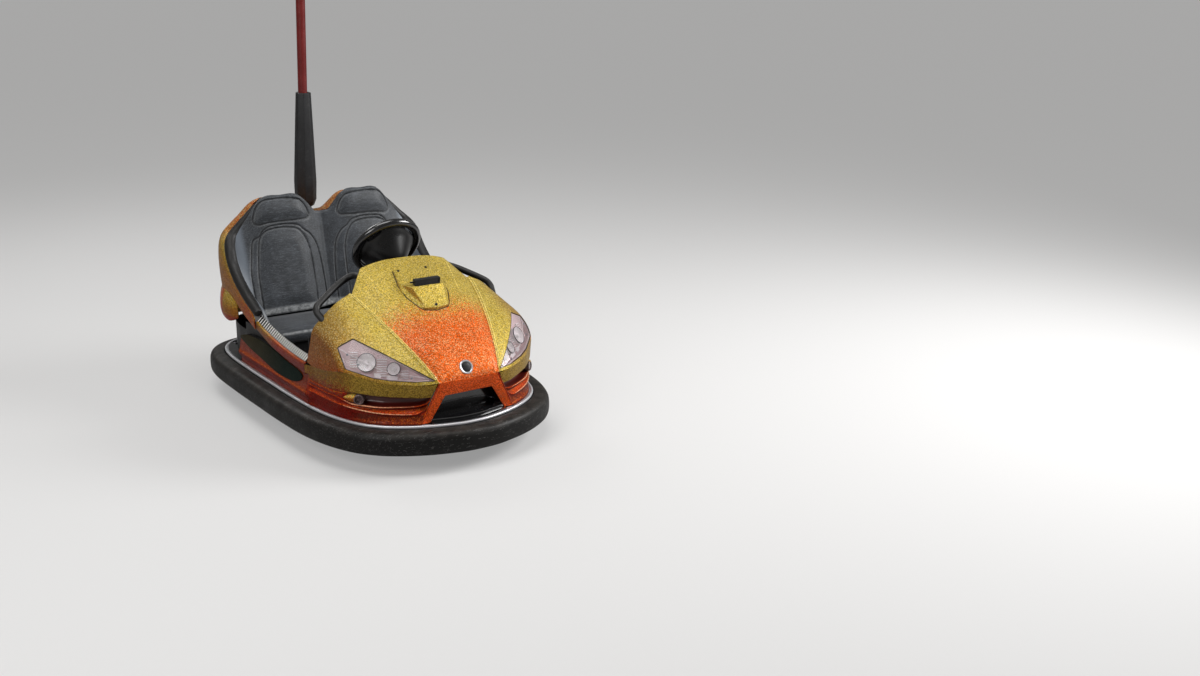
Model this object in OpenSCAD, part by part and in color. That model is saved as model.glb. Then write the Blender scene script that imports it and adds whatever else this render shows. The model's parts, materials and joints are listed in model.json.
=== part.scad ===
// Fairground bumper car, front towards -Y, floor at z = 0, centred on x = y = 0.

/* [Overall] */
// Overall width across the rubber bumper
car_w = 1180; // [1100:10:1260]
// Overall length across the rubber bumper
car_l = 1896; // [1780:4:2000]
// Height of the top of the contact shoe
car_h = 2700; // [2500:10:2900]

/* [Bumper] */
// How far the rubber stands out from the metal strip
bumper_out = 78; // [70:1:90]
// Height of the metal strip above the floor
strip_z = 188; // [180:1:200]
// Height of the lower edge of the rubber
bumper_low = 82; // [76:1:90]
// Width of the metal strip
strip_w = 12; // [8:1:16]

/* [Body] */
// Wall thickness of the moulded body
wall = 5; // [4:0.5:7]
// Thickness of the floor pan
pan_t = 6; // [4:1:8]
// Height of the top face of the floor pan
pan_z = 136; // [130:1:142]
// Height of the bench seat
bench_z = 385; // [370:1:400]

/* [Steering] */
// Outside radius of the steering wheel
wheel_r = 166; // [155:1:175]
// Radius of the steering wheel rim tube
rim_r = 16; // [13:1:18]
// Slope of the steering column above level
column_deg = 35; // [30:1:42]

/* [Running gear] */
// Radius of the driven front wheel
drive_r = 100; // [90:1:108]
// Width of the driven front wheel
drive_w = 60; // [50:1:70]
// Radius of the rear wheels
rear_r = 75; // [65:1:80]
// Width of the rear wheels
rear_w = 44; // [36:1:50]
// Distance from the middle of the car to each rear wheel
rear_x = 350; // [320:1:370]
// Radius of the axle pins
pin_r = 10; // [8:0.5:12]
// Radial play of the turning fits
fit = 0.05; // [0.02:0.01:0.08]

/* [Pole] */
// Radius of the pole tube
pole_r = 22; // [20:1:26]
// Forward lean of the pole
pole_lean = 3.4; // [0:0.2:5]

/* [Hidden] */
// Clearance of seated pieces
seat = 0.3;
$fn = 40;
kx = car_w / 1180;
ky = car_l / 1896;
strip_out = bumper_out - 78;
drive_y = -420 * ky;
rear_y = 520 * ky;
hub_c = [0, -95 * ky, 793];
pole_y = 790 * ky;
pole_foot = 640;

// Half outline of the metal strip, from the middle of the nose to the middle of the tail
OUTLINE = [[0, -870], [60, -867], [120, -853], [190, -831], [250, -804], [310, -768],
    [366, -722], [422, -648], [470, -522], [499, -362], [510, -145], [512, 104],
    [512, 330], [504, 590], [468, 744], [390, 828], [268, 861], [130, 869], [0, 870]];

function place(p) = [p[0] * kx, p[1] * ky, each [for (k = [2:1:len(p) - 1]) p[k]]];
function unit(v) = v / max(norm(v), 0.000001);
function turn(p) = [-p[0], for (k = [1:len(p) - 1]) p[k]];
function flip(list) = [for (k = [len(list) - 1:-1:0]) list[k]];
function flat(g) = [for (r = g) for (p = r) p];
function cubic(p, t) = let (s = 1 - t)
    s * s * s * p[0] + 3 * s * s * t * p[1] + 3 * s * t * t * p[2] + t * t * t * p[3];
function spline(a, b, c, d, t) = 0.5 * (2 * b + (c - a) * t + (2 * a - 5 * b + 4 * c - d) * t * t
    + (3 * b - a - 3 * c + d) * t * t * t);

// Closed outline of the strip
half_out = [for (p = OUTLINE) let (v = unit([p[0], p[1] * 0.6]))
    place(p) - strip_out * [p[0] > 0 ? v[0] : 0, v[1]]];
ring_in = concat(half_out, [for (k = [len(half_out) - 2:-1:1]) turn(half_out[k])]);
ring_n = len(ring_in);
function ring_at(k) = ring_in[(k + ring_n) % ring_n];
ring = [for (k = [0:ring_n - 1]) for (t = [0, 0.5])
    spline(ring_at(k - 1), ring_at(k), ring_at(k + 1), ring_at(k + 2), t)];
function loop_at(g, k) = g[(k + len(g)) % len(g)];
function out_of(g, k) = let (d = unit(loop_at(g, k + 1) - loop_at(g, k - 1))) [d[1], -d[0]];
function grow(g, d) = [for (k = [0:len(g) - 1]) g[k] + d * out_of(g, k)];

// Solid ring from a profile of [outward, height] points run round the strip outline
module ring_solid(profile) {
    m = len(profile);
    n = len(ring);
    rings = [for (p = profile) let (g = grow(ring, p[0])) [for (q = g) [q[0], q[1], p[1]]]];
    faces = [for (i = [0:m - 1]) for (k = [0:n - 1]) let (a = i, b = (i + 1) % m, c = (k + 1) % n)
        each [[a * n + k, b * n + c, b * n + k], [a * n + k, a * n + c, b * n + c]]];
    polyhedron(points = flat(rings), faces = faces);
}

// Unit normal of a grid at one point, from its neighbours
function grid_normal(g, i, j) = let (r = len(g) - 1, c = len(g[0]) - 1,
    du = g[min(i + 1, r)][j] - g[max(i - 1, 0)][j],
    dv = g[i][min(j + 1, c)] - g[i][max(j - 1, 0)]) unit(cross(du, dv));
function inset(g, t) = [for (i = [0:len(g) - 1]) [for (j = [0:len(g[0]) - 1])
    g[i][j] + t * grid_normal(g, i, j)]];

// Closed solid between two grids of one size
module between(g, h) {
    r = len(g);
    c = len(g[0]);
    n = r * c;
    top = [for (i = [0:r - 2]) for (j = [0:c - 2]) let (a = i * c + j)
        each [[a, a + 1, a + c + 1], [a, a + c + 1, a + c]]];
    low = [for (i = [0:r - 2]) for (j = [0:c - 2]) let (a = n + i * c + j)
        each [[a, a + c + 1, a + 1], [a, a + c, a + c + 1]]];
    edge = concat([for (j = [0:c - 1]) j], [for (i = [1:r - 1]) i * c + c - 1],
        [for (j = [c - 2:-1:0]) (r - 1) * c + j], [for (i = [r - 2:-1:1]) i * c]);
    e = len(edge);
    rim = [for (k = [0:e - 1]) let (a = edge[k], b = edge[(k + 1) % e])
        each [[a, n + a, n + b], [a, n + b, b]]];
    polyhedron(points = concat(flat(g), flat(h)), faces = concat(top, low, rim));
}

// Whole-width grid from the columns of the right-hand half
function both(cols) = concat([for (k = [len(cols) - 1:-1:1]) [for (p = cols[k]) turn(p)]], cols);
function columns(table, steps) = [for (row = table) [for (k = [0:steps]) place(cubic(row, k / steps))]];

// Round bar run along a path of [x, y, z, radius] points
module bar(path, extra = 0, n = 12) {
    m = len(path);
    pts = [for (p = path) [p[0], p[1], p[2]]];
    dirs = [for (k = [0:m - 1]) unit(pts[min(k + 1, m - 1)] - pts[max(k - 1, 0)])];
    side = [for (d = dirs) unit(cross(d, [0.3, 0.1, 1]))];
    rings = [for (k = [0:m - 1]) let (up = cross(side[k], dirs[k])) [for (a = [0:n - 1])
        pts[k] + (path[k][3] + extra) * (side[k] * cos(a * 360 / n) + up * sin(a * 360 / n))]];
    caps = [[for (a = [n - 1:-1:0]) a], [for (a = [0:n - 1]) (m - 1) * n + a]];
    faces = [for (k = [0:m - 2]) for (a = [0:n - 1]) let (b = (a + 1) % n)
        each [[k * n + a, k * n + b, (k + 1) * n + b], [k * n + a, (k + 1) * n + b, (k + 1) * n + a]]];
    polyhedron(points = flat(rings), faces = concat(faces, caps));
}
function smooth(path, n) = [for (k = [0:len(path) - 2]) for (i = [0:n - 1])
    spline(path[max(k - 1, 0)], path[k], path[k + 1], path[min(k + 2, len(path) - 1)], i / n),
    path[len(path) - 1]];

// Bumper and strip
module bumper_tube() color([0.16, 0.16, 0.17])
    ring_solid([[0, strip_z - 6], [bumper_out - 40, strip_z - 7], [bumper_out - 22, strip_z - 10],
        [bumper_out - 9, strip_z - 18], [bumper_out - 2, strip_z - 32], [bumper_out, strip_z - 48],
        [bumper_out, bumper_low + 26], [bumper_out - 4, bumper_low + 11], [bumper_out - 14, bumper_low + 2],
        [bumper_out - 28, bumper_low], [8, bumper_low], [0, bumper_low + 8]]);
module bumper_strip() color([0.8, 0.8, 0.82])
    ring_solid([[-strip_w - 12, strip_z], [2, strip_z], [2, strip_z - 5.7], [-strip_w - 12, strip_z - 5.7]]);

// Frame and floor pan
module outline_plate(d, z, t) translate([0, 0, z]) linear_extrude(t) polygon(grow(ring, d));
module chassis_frame() color([0.1, 0.1, 0.11]) {
    difference() {
        union() {
            outline_plate(-0.3, pan_z - pan_t, pan_t);
            difference() {
                outline_plate(-0.3, bumper_low + 14, strip_z - 20 - bumper_low);
                outline_plate(-10, bumper_low, strip_z);
            }
        }
        translate([0, drive_y, 0]) cylinder(r = drive_r + 62, h = 400);
        for (s = [-1, 1]) translate([s * rear_x, rear_y, 200])
            cube([rear_w + 42, 2 * rear_r + 24, 400], center = true);
    }
    translate([0, drive_y, 330]) difference() {
        union() {
            cylinder(r = 62, h = 46);
            translate([-300 * kx, -30, 30]) cube([600 * kx, 60, 16]);
        }
        translate([0, 0, -1]) cylinder(r = 30 + fit, h = 60);
    }
    for (s = [-1, 1]) translate([s * 300 * kx - 8, drive_y - 30, pan_z - 0.5]) cube([16, 60, 240.5]);
}
module rear_brackets() color([0.25, 0.26, 0.28])
    for (s = [-1, 1]) translate([s * rear_x, rear_y, 0]) {
        for (q = [-1, 1]) {
            translate([q * (rear_w / 2 + 15.5) - 3.5, -30, rear_r - 22])
                cube([7, 60, pan_z + 68 - rear_r]);
            translate([q * (rear_w / 2 + 29) - 12, -30, pan_z + seat]) cube([24, 60, 6]);
        }
        translate([-rear_w / 2 - 19, -30, pan_z + 44]) cube([rear_w + 38, 60, 6]);
        translate([-rear_w / 2 - 19, 0, rear_r]) rotate([0, 90, 0]) cylinder(r = pin_r, h = rear_w + 38);
    }
module rear_wheel(s) color([0.2, 0.2, 0.2]) translate([s * rear_x, rear_y, rear_r]) rotate([0, 90, 0])
    rotate_extrude($fn = 48) polygon([[pin_r + fit, -rear_w / 2 - 4], [22, -rear_w / 2 - 4],
        [22, -rear_w / 2 + 6], [rear_r - 18, -rear_w / 2 + 6], [rear_r - 14, -rear_w / 2],
        [rear_r - 4, -rear_w / 2], [rear_r, -rear_w / 2 + 5], [rear_r, rear_w / 2 - 5],
        [rear_r - 4, rear_w / 2], [rear_r - 14, rear_w / 2], [rear_r - 18, rear_w / 2 - 6],
        [22, rear_w / 2 - 6], [22, rear_w / 2 + 4], [pin_r + fit, rear_w / 2 + 4]]);
module rear_wheel_r() rear_wheel(-1);
module rear_wheel_l() rear_wheel(1);

// Driven and steered front unit
module drive_fork() color([0.35, 0.36, 0.38]) translate([0, drive_y, 0]) {
    translate([0, 0, 250]) cylinder(r = 30, h = 132);
    translate([0, 0, 382]) cylinder(r = 44, h = 14);
    translate([0, 0, 300]) cylinder(r = 58, h = 24);
    translate([-drive_w / 2 - 22, -45, 2 * drive_r + 16]) cube([drive_w + 44, 90, 85 - 2 * (drive_r - 100)]);
    for (s = [-1, 1]) translate([s * (drive_w / 2 + 14) - 5, -32, drive_r - 30])
        cube([10, 64, 2 * drive_r + 30 - drive_r + 20]);
    translate([-drive_w / 2 - 19, 0, drive_r]) rotate([0, 90, 0]) cylinder(r = pin_r, h = drive_w + 38);
}
module drive_motor() color([0.3, 0.3, 0.32]) translate([drive_w / 2 + 19.3, drive_y, drive_r + 36])
    rotate([0, 90, 0]) cylinder(r = 62, h = 74);
module drive_tyre() color([0.12, 0.12, 0.12]) translate([0, drive_y, drive_r]) rotate([0, 90, 0])
    rotate_extrude($fn = 64) polygon([[drive_r - 22, -drive_w / 2], [drive_r - 5, -drive_w / 2],
        [drive_r, -drive_w / 2 + 6], [drive_r, drive_w / 2 - 6], [drive_r - 5, drive_w / 2],
        [drive_r - 22, drive_w / 2]]);
module drive_hub() color([0.6, 0.6, 0.62]) translate([0, drive_y, drive_r]) rotate([0, 90, 0])
    rotate_extrude($fn = 64) polygon([[pin_r + fit, -drive_w / 2 - 4], [26, -drive_w / 2 - 4],
        [26, -10], [drive_r - 34, -10], [drive_r - 34, -drive_w / 2], [drive_r - 22 - seat, -drive_w / 2],
        [drive_r - 22 - seat, drive_w / 2], [drive_r - 34, drive_w / 2], [drive_r - 34, 10], [26, 10],
        [26, drive_w / 2 + 4], [pin_r + fit, drive_w / 2 + 4]]);

// Front body: each column runs from the rear edge of the shell to the lip line
FRONT = [
    [[0, -240, 768], [0, -390, 705], [0, -780, 480], [0, -812, 356]],
    [[75, -240, 767], [72, -390, 704], [58, -780, 480], [50, -812, 357]],
    [[150, -242, 758], [145, -390, 696], [112, -780, 476], [98, -813, 359]],
    [[208, -246, 743], [200, -400, 675], [150, -770, 470], [128, -814, 360]],
    [[286, -320, 655], [270, -440, 620], [182, -740, 465], [140, -815, 360]],
    [[296, -324, 662], [280, -444, 628], [190, -742, 471], [146, -818, 362]],
    [[306, -324, 655], [290, -444, 620], [200, -738, 463], [154, -813, 359]],
    [[360, -322, 628], [360, -460, 590], [300, -700, 474], [230, -782, 358]],
    [[420, -312, 575], [425, -460, 552], [390, -640, 492], [345, -706, 367]],
    [[462, -300, 524], [464, -400, 523], [463, -560, 500], [459, -588, 402]],
    [[474, -297, 480], [478, -390, 476], [480, -500, 455], [479, -530, 396]],
    [[484, -293, 425], [488, -350, 422], [491, -420, 415], [490, -460, 385]],
    [[493, -288, 378], [495, -310, 377], [496, -330, 376], [497, -350, 374]]];
front_half = columns(FRONT, 8);
front_grid = both(front_half);
fender_grid = [for (k = [3:12]) front_half[k]];
module front_shell() color([0.8, 0.62, 0.1]) difference() {
    between(inset(front_grid, wall), front_grid);
    lamp_prism(1, 0);
    lamp_prism(-1, 0);
}

// Headlamp outline in its own plane: top outer corner, tip, foot
LAMP = [[451, -510, 490], [388, -528, 522], [157, -808, 371], [235, -774, 371], [320, -719, 377],
    [375, -673, 386], [455, -586, 416]];
lamp_c = place([330, -660, 430]);
lamp_n = unit([0.47, -0.743, 0.476]);
lamp_u = unit(cross([0, 0, 1], lamp_n));
lamp_v = cross(lamp_n, lamp_u);
lamp_xy = [for (p = LAMP) let (q = place(p) - lamp_c) [q * lamp_u, q * lamp_v]];
lamp_frame = [[lamp_u[0], lamp_v[0], lamp_n[0], lamp_c[0]], [lamp_u[1], lamp_v[1], lamp_n[1], lamp_c[1]],
    [lamp_u[2], lamp_v[2], lamp_n[2], lamp_c[2]], [0, 0, 0, 1]];
module lamp_prism(s, d) {
    mirror([s < 0 ? 1 : 0, 0, 0]) multmatrix(lamp_frame) translate([0, 0, -60]) linear_extrude(140)
        polygon([for (q = lamp_xy) q - d * unit(q)]);
}
module lamp_lens(s) color([0.8, 0.8, 0.82]) intersection() {
    mirror([s < 0 ? 1 : 0, 0, 0]) between(inset(fender_grid, 5), inset(fender_grid, 1));
    lamp_prism(s, 0.6);
}
module headlamp_lens_r() lamp_lens(-1);
module headlamp_lens_l() lamp_lens(1);

// Reflector bowl behind each lens, with its two round lamps and the fins between
module headlamp_bowls() color([0.62, 0.62, 0.65]) for (s = [0, 1]) mirror([s, 0, 0]) {
    difference() {
        multmatrix(lamp_frame) difference() {
            translate([0, 0, -44]) linear_extrude(90) polygon([for (q = lamp_xy) q - 6 * unit(q)]);
            translate([0, 0, -40]) linear_extrude(90) polygon([for (q = lamp_xy) q - 9 * unit(q)]);
        }
        between(inset(fender_grid, 5.3), inset(fender_grid, -70));
    }
    multmatrix(lamp_frame) for (lamp = [[60, 14, 26], [-52, -14, 18]]) translate([lamp[0], lamp[1], -41])
        rotate_extrude($fn = 32) polygon([[0, 0], [lamp[2], 0], [lamp[2], 22], [lamp[2] - 3, 22],
            [lamp[2] - 6, 6], [0, 4]]);
}

// Lower front body: lip line, first crest, height of the upper lip edge, second crest, depth of
// the recess between them and place along the strip
LIP = [
    [[152, -814, 356], [181, -797, 284], 300, 256, 6, 7.2],
    [[166, -811, 353], [192, -790, 272], 299, 246, 34, 8],
    [[230, -782, 358], [240, -772, 263], 301, 233, 46, 9],
    [[345, -706, 367], [350, -700, 260], 308, 236, 48, 12],
    [[405, -648, 384], [408, -642, 263], 313, 243, 46, 14],
    [[440, -610, 396], [441, -600, 266], 316, 248, 24, 15],
    [[459, -588, 402], [459, -572, 276], 314, 252, 6, 15.6],
    [[479, -530, 396], [478, -524, 286], 310, 256, 2, 16.4],
    [[490, -460, 385], [489, -456, 286], 310, 258, 2, 17.2],
    [[497, -350, 374], [496, -350, 286], 308, 258, 2, 18.1],
    [[501, -291, 369], [500, -291, 286], 306, 258, 2, 18.64]];
inner_rim = grow(ring, -strip_w - 1);
function rim_at(k) = inner_rim[floor(k)] * (1 - k + floor(k)) + inner_rim[floor(k) + 1] * (k - floor(k));
function plan_in(p, q, d) = let (v = unit([p[0], p[1] * 0.55])) [p[0] - d * v[0], p[1] - d * v[1], q];
function mix(a, b, t) = [a[0] * (1 - t) + b[0] * t, a[1] * (1 - t) + b[1] * t];
function lip_points(row) = let (a = place(row[0]), b = place(row[1]), d = row[4], r = rim_at(row[5]),
    up = row[2], low = row[3], m = mix(a, b, (a[2] - up) / (a[2] - b[2])), c = mix(b, r, 0.35)) [
    plan_in(a, a[2] - 1.2, 0.3), plan_in(m, up, 3), plan_in(m, up - 2, d), plan_in(b, b[2] + 2, d),
    plan_in(b, b[2], 1), plan_in(b, (b[2] + low) / 2 + 2, 5), plan_in(c, low, -2),
    plan_in(c, low - 7, 3), plan_in(mix(b, r, 0.8), strip_z + 14, 3), [r[0], r[1], strip_z + 9],
    [r[0], r[1], strip_z + seat]];
lip_grid = [for (row = LIP) lip_points(row)];
// The inner face starts lower, clear of the edge of the shell above it
lip_back = [for (c = inset(lip_grid, 4)) [for (k = [0:len(c) - 1]) c[k] - [0, 0, k == 0 ? 2.6 : 0]]];
function past(c) = let (n = len(c) - 1) concat([c[0] + 1.2 * unit(c[0] - c[1])], c,
    [c[n] + 1.2 * unit(c[n] - c[n - 1])]);
function beside(a, b) = [for (k = [0:len(a) - 1]) a[k] + 1.2 * unit(a[k] - b[k])];
function longer(g) = let (n = len(g) - 1, h = [for (c = g) past(c)])
    concat([beside(h[0], h[1])], h, [beside(h[n], h[n - 1])]);
module shell_room(t) between(inset(longer(front_grid), t), inset(longer(front_grid), -seat));
module front_lip() color([0.85, 0.3, 0.08]) for (s = [0, 1]) difference() {
    mirror([s, 0, 0]) between(lip_back, lip_grid);
    mirror([s, 0, 0]) frame_plane() translate([0, 0, -30]) linear_extrude(60) polygon([for (p = [[141.5, 20],
        [141.5, 2.5], [212.5, -144], [212.5, -170], [0, -170], [0, 20]]) [p[0] * kx, p[1]]]);
}
// Black lining of the recess over the lower lip
fog_grid = [for (k = [1:5]) let (c = lip_grid[k], v = -unit([c[2][0], c[2][1], 0])) [c[1] + 3 * v, c[2], c[3],
    c[4] + 3 * v]];
module fog_liners() color([0.03, 0.03, 0.03]) for (s = [0, 1]) mirror([s, 0, 0])
    between(inset(fog_grid, -0.5), inset(fog_grid, -2.5));
module frame_plane() translate([0, -809 * ky, 356]) rotate([95, 0, 0]) children();
module nose_frame() color([0.9, 0.36, 0.08]) difference() {
    frame_plane() linear_extrude(5) polygon([for (p = [[-50, 3], [0, 2], [50, 3], [98, 5], [141, 2.5],
        [212, -144], [172, -144], [114, -56], [-114, -56], [-172, -144], [-212, -144], [-141, 2.5],
        [-98, 5]]) [p[0] * kx, p[1]]]);
    shell_room(wall + 3);
}
module front_tray() color([0.05, 0.05, 0.06]) {
    intersection() {
        union() {
            outline_plate(-strip_w + 2 - seat, strip_z + seat, 6.2);
            outline_plate(-36, strip_z + 6, 12.5);
        }
        translate([-206 * kx, -860 * ky, 0]) cube([412 * kx, 120 * ky, 600]);
    }
    translate([-165 * kx, -743 * ky, strip_z + seat]) cube([330 * kx, 5, 143]);
}
module badge_ring() color([0.8, 0.8, 0.82]) difference() {
    translate(place([0, -782, 396])) rotate([58, 0, 0]) rotate_extrude($fn = 40) polygon([[0, -10],
        [25, -10], [25, 11], [23.5, 13], [21, 14], [19, 13], [18, 11], [0, 11]]);
    hood_solid();
}

// Coin box on the hood
module hood_solid() {
    g = both(columns([for (k = [0:3]) FRONT[k]], 8));
    between(inset(g, 90), inset(g, -seat));
}
// Coin box corners on one side: four of its top, then five of its foot
COIN = [[84, -318, 739], [103, -415, 695], [76, -476, 690], [54, -547, 613], [100, -326, 700],
    [112, -400, 668], [106, -468, 630], [90, -508, 602], [58, -541, 588]];
COIN_SIDE = [[0, 1, 5], [0, 5, 4], [1, 2, 3], [1, 3, 7], [1, 7, 6], [1, 6, 5], [3, 8, 7]];
COIN_MID = [[3, 12, 17, 8], [2, 11, 12, 3], [0, 9, 10, 1], [1, 10, 11, 2], [0, 4, 13, 9], [4, 5, 14, 13],
    [5, 6, 15, 14], [6, 7, 16, 15], [7, 8, 17, 16]];
module coin_box() color([0.85, 0.72, 0.2]) difference() {
    corners = [for (p = COIN) place(p)];
    polyhedron(points = concat(corners, [for (p = corners) turn(p)]), faces = concat(
        [for (f = COIN_SIDE) flip(f)], [for (f = COIN_SIDE) [for (k = f) k + 9]],
        [for (f = COIN_MID) flip(f)]));
    hood_solid();
}
module coin_slot() color([0.05, 0.05, 0.05]) difference() {
    union() {
        translate(place([-60, -474, 690.5])) rotate([4.7, 0, 0]) cube([121 * kx, 26, 27]);
        translate(place([-78, -462, 702])) cube([20, 8, 6]);
    }
    translate(place([-56, -480, 695])) rotate([4.7, 0, 0]) cube([113 * kx, 12, 17]);
}
module fog_lamps() color([0.9, 0.85, 0.7]) for (s = [0, 1]) mirror([s, 0, 0]) difference() {
    translate(place([417, -626, 290])) rotate([90, 0, 38]) translate([0, 0, -60]) cylinder(r = 20, h = 80);
    between(inset(fog_grid, 60), inset(fog_grid, -2.8));
}

// Sills, side panels and what lies on them
// Sill band: place along the car, heights of the outer edge of the step plate and of the band's
// foot, and the inner edge of the plate
BAND = [[-285, 380, 326, 476], [-200, 382, 333, 476], [-110, 388, 340, 476], [-20, 396, 348, 476],
    [70, 409, 360, 476], [150, 424, 379, 477], [228, 445, 401, 484]];
function band_points(r) = let (y = r[0], z = r[1], b = r[2], i = r[3]) [for (p = [[i - 4, z + 14],
    [i - 3.1, z + 21], [495.9, z - 3], [502, z - 4], [507, z - 13], [507, b + 7], [503, b], [482, b + 3]])
    place([p[0], y, p[1]])];
module side_sills() color([0.85, 0.35, 0.1]) {
    g = [for (r = BAND) band_points(r)];
    for (s = [0, 1]) mirror([s, 0, 0]) between(inset(g, 4), g);
}
// Place along the car and height of the top edge of the side panel
PANEL = [[-285, 328.3], [-252, 331], [-225, 313], [-190, 319], [-91, 326], [17, 336], [107, 344],
    [222, 349], [342, 344], [400, 337], [468, 318]];
function panel_x(z) = 486 + (338 - z) * 15 / 76;
module side_panels() color([0.8, 0.2, 0.06]) {
    g = [for (r = PANEL) let (t = r[1]) [for (p = [[474, t], [panel_x(t - 1), t - 1],
        [panel_x(t - 5), t - 5], [504, 247], [509, 239], [508, 231], [495, strip_z + 22],
        [497, strip_z + 0.8]]) place([p[0], r[0], p[1]])]];
    for (s = [0, 1]) mirror([s, 0, 0]) between(inset(g, 4), g);
}
module side_inserts() color([0.05, 0.2, 0.12]) for (s = [0, 1]) mirror([s, 0, 0])
    translate(place([486, 100, 338])) rotate([0, 90 - atan2(15 * kx, 76), 0]) translate([0, 0, seat])
        linear_extrude(4) polygon([for (p = [[20, 361], [4, 300], [-3, 242], [-8, 122], [-3, 7], [5, -83],
            [15, -191], [22, -290], [32, -335], [44, -342], [58, -330], [74, -290], [84, -235], [89, -124],
            [85, -35], [75, 55], [65, 148], [55, 243], [41, 327], [31, 366]]) [p[0], p[1] * ky]]);
module step_plates() color([0.75, 0.75, 0.75]) for (s = [0, 1]) mirror([s, 0, 0]) {
    g = [for (r = BAND) [place([r[3] - 2.8, r[0], r[1] + 21.2]), place([496.1, r[0], r[1] - 2.7])]];
    between(g, [for (c = g) [for (p = c) p + [2.8, 0, 2.8]]]);
}

// Rear body: each column runs from the rim behind the seats to the skirt line
REAR = [
    [[0, 632, 836], [0, 780, 846], [0, 874, 790], [0, 866, 330]],
    [[60, 632, 842], [64, 780, 850], [70, 872, 790], [80, 864, 330]],
    [[123, 630, 922], [130, 730, 930], [150, 868, 800], [170, 855, 330]],
    [[211, 630, 928], [216, 730, 935], [240, 856, 800], [262, 840, 330]],
    [[303, 632, 920], [318, 712, 922], [345, 855, 800], [330, 820, 332]],
    [[362, 634, 864], [384, 710, 872], [415, 835, 760], [372, 795, 338]],
    [[404, 636, 820], [430, 715, 838], [466, 800, 730], [425, 745, 346]],
    [[440, 636, 784], [478, 715, 800], [500, 735, 700], [460, 670, 354]],
    [[476, 616, 752], [500, 650, 765], [520, 665, 650], [490, 600, 372]],
    [[498, 584, 714], [510, 600, 705], [524, 600, 590], [500, 540, 400]],
    [[509, 532, 650], [515, 540, 640], [518, 520, 560], [508, 470, 488]],
    [[510, 455, 592], [514, 458, 575], [516, 452, 520], [510, 436, 479]],
    [[510, 387, 548], [514, 387, 530], [516, 383, 490], [510, 378, 456]],
    [[508, 300, 505], [512, 300, 490], [512, 300, 450], [508, 300, 427]],
    [[507, 234, 472], [510, 234, 460], [510, 234, 425], [507, 234, 404]]];
// Rounded pods low on the rear corners, from front to tail
POD = [
    [[504, 472, 500], [509, 446, 476], [509, 440, 420], [503, 464, 400]],
    [[506, 505, 518], [532, 490, 492], [541, 486, 408], [508, 505, 383]],
    [[506, 572, 536], [540, 572, 502], [553, 572, 403], [512, 562, 370]],
    [[494, 638, 542], [514, 656, 502], [531, 661, 398], [494, 632, 366]],
    [[456, 722, 542], [470, 748, 502], [481, 755, 398], [450, 715, 364]],
    [[366, 790, 542], [373, 824, 502], [379, 832, 398], [360, 785, 364]],
    [[244, 826, 542], [248, 852, 502], [250, 860, 398], [244, 820, 364]],
    [[180, 836, 532], [180, 842, 500], [180, 844, 420], [180, 834, 390]]];
module rear_shell() color([0.8, 0.5, 0.1]) difference() {
    g = both(columns(REAR, 6));
    pod = columns(POD, 6);
    union() {
        between(inset(g, wall), g);
        for (s = [0, 1]) mirror([s, 0, 0]) between(inset(pod, wall), pod);
    }
    pole_frame() translate([0, 0, 100]) cylinder(r = 40, h = 400);
    for (s = [0, 1]) mirror([s, 0, 0]) bar(roll_path, seat);
}
module rear_skirt() color([0.06, 0.06, 0.06]) difference() {
    intersection() {
        union() {
            difference() {
                outline_plate(-54, strip_z + seat, 144);
                outline_plate(-59, strip_z - 8, 160);
            }
            outline_plate(-strip_w + 2 - seat, strip_z + seat, 6);
        }
        translate([-car_w / 2, 474 * ky, 0]) cube([car_w, car_l / 3, 600]);
    }
    translate([-420, 0, strip_z - 10]) cube([840, 795 * ky, 20]);
}

// Cockpit
SEAT = [
    [[0, 512, 388], [0, 540, 520], [0, 580, 700], [0, 606, 846]],
    [[37, 500, 388], [37, 528, 520], [37, 572, 700], [37, 600, 850]],
    [[105, 478, 388], [108, 505, 520], [118, 560, 740], [123, 596, 938]],
    [[210, 474, 388], [210, 500, 520], [211, 556, 740], [211, 596, 944]],
    [[300, 474, 388], [302, 500, 520], [303, 560, 740], [299, 600, 937]],
    [[368, 470, 388], [378, 490, 500], [384, 560, 680], [374, 608, 850]],
    [[424, 440, 390], [440, 480, 500], [446, 560, 650], [434, 608, 784]],
    [[450, 380, 394], [462, 430, 480], [472, 540, 600], [474, 582, 736]],
    [[460, 300, 400], [466, 350, 470], [475, 450, 560], [486, 520, 655]],
    [[463, 236, 404], [467, 262, 440], [474, 320, 500], [484, 390, 552]],
    [[465, 184, 407], [467, 194, 424], [470, 214, 454], [473, 232, 480]]];
module seat_back() color([0.2, 0.21, 0.23]) difference() {
    g = both(columns(SEAT, 6));
    between(inset(g, 16), g);
    for (s = [0, 1]) mirror([s, 0, 0]) bar(roll_path, seat);
}
module seat_cushion() color([0.2, 0.21, 0.23]) translate([-418 * kx, 0, 0]) rotate([90, 0, 90])
    linear_extrude(836 * kx) polygon([for (p = [[150, -55], [143, -40], [143, -17], [150, -3],
        [164, 3], [200, 2], [470, -10], [470, -55]]) [p[0] * ky, bench_z + p[1]]]);
module seat_base() color([0.06, 0.06, 0.06]) {
    translate([-460 * kx, 166 * ky, pan_z + seat]) cube([920 * kx, 8, bench_z - 56 - pan_z]);
}
module cockpit_liner() color([0.05, 0.05, 0.05]) for (s = [-1, 1])
    translate([s * 464 * kx - 3, -238 * ky, pan_z + seat]) cube([6, 700 * ky, 246]);
module footwell_mat() color([0.08, 0.08, 0.08]) translate([-458 * kx, -228 * ky, pan_z + seat])
    cube([916 * kx, 390 * ky, 6]);
module toe_board() color([0.07, 0.07, 0.07]) translate([-456 * kx, -238 * ky, pan_z + seat])
    cube([912 * kx, 6, 330]);
dash_inner = inset(front_grid, wall + 0.4);
dash_top = [for (k = [0, 1, 2, 3, 4, 6, 7, 8, 9]) dash_inner[12 + k][0]];
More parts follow.
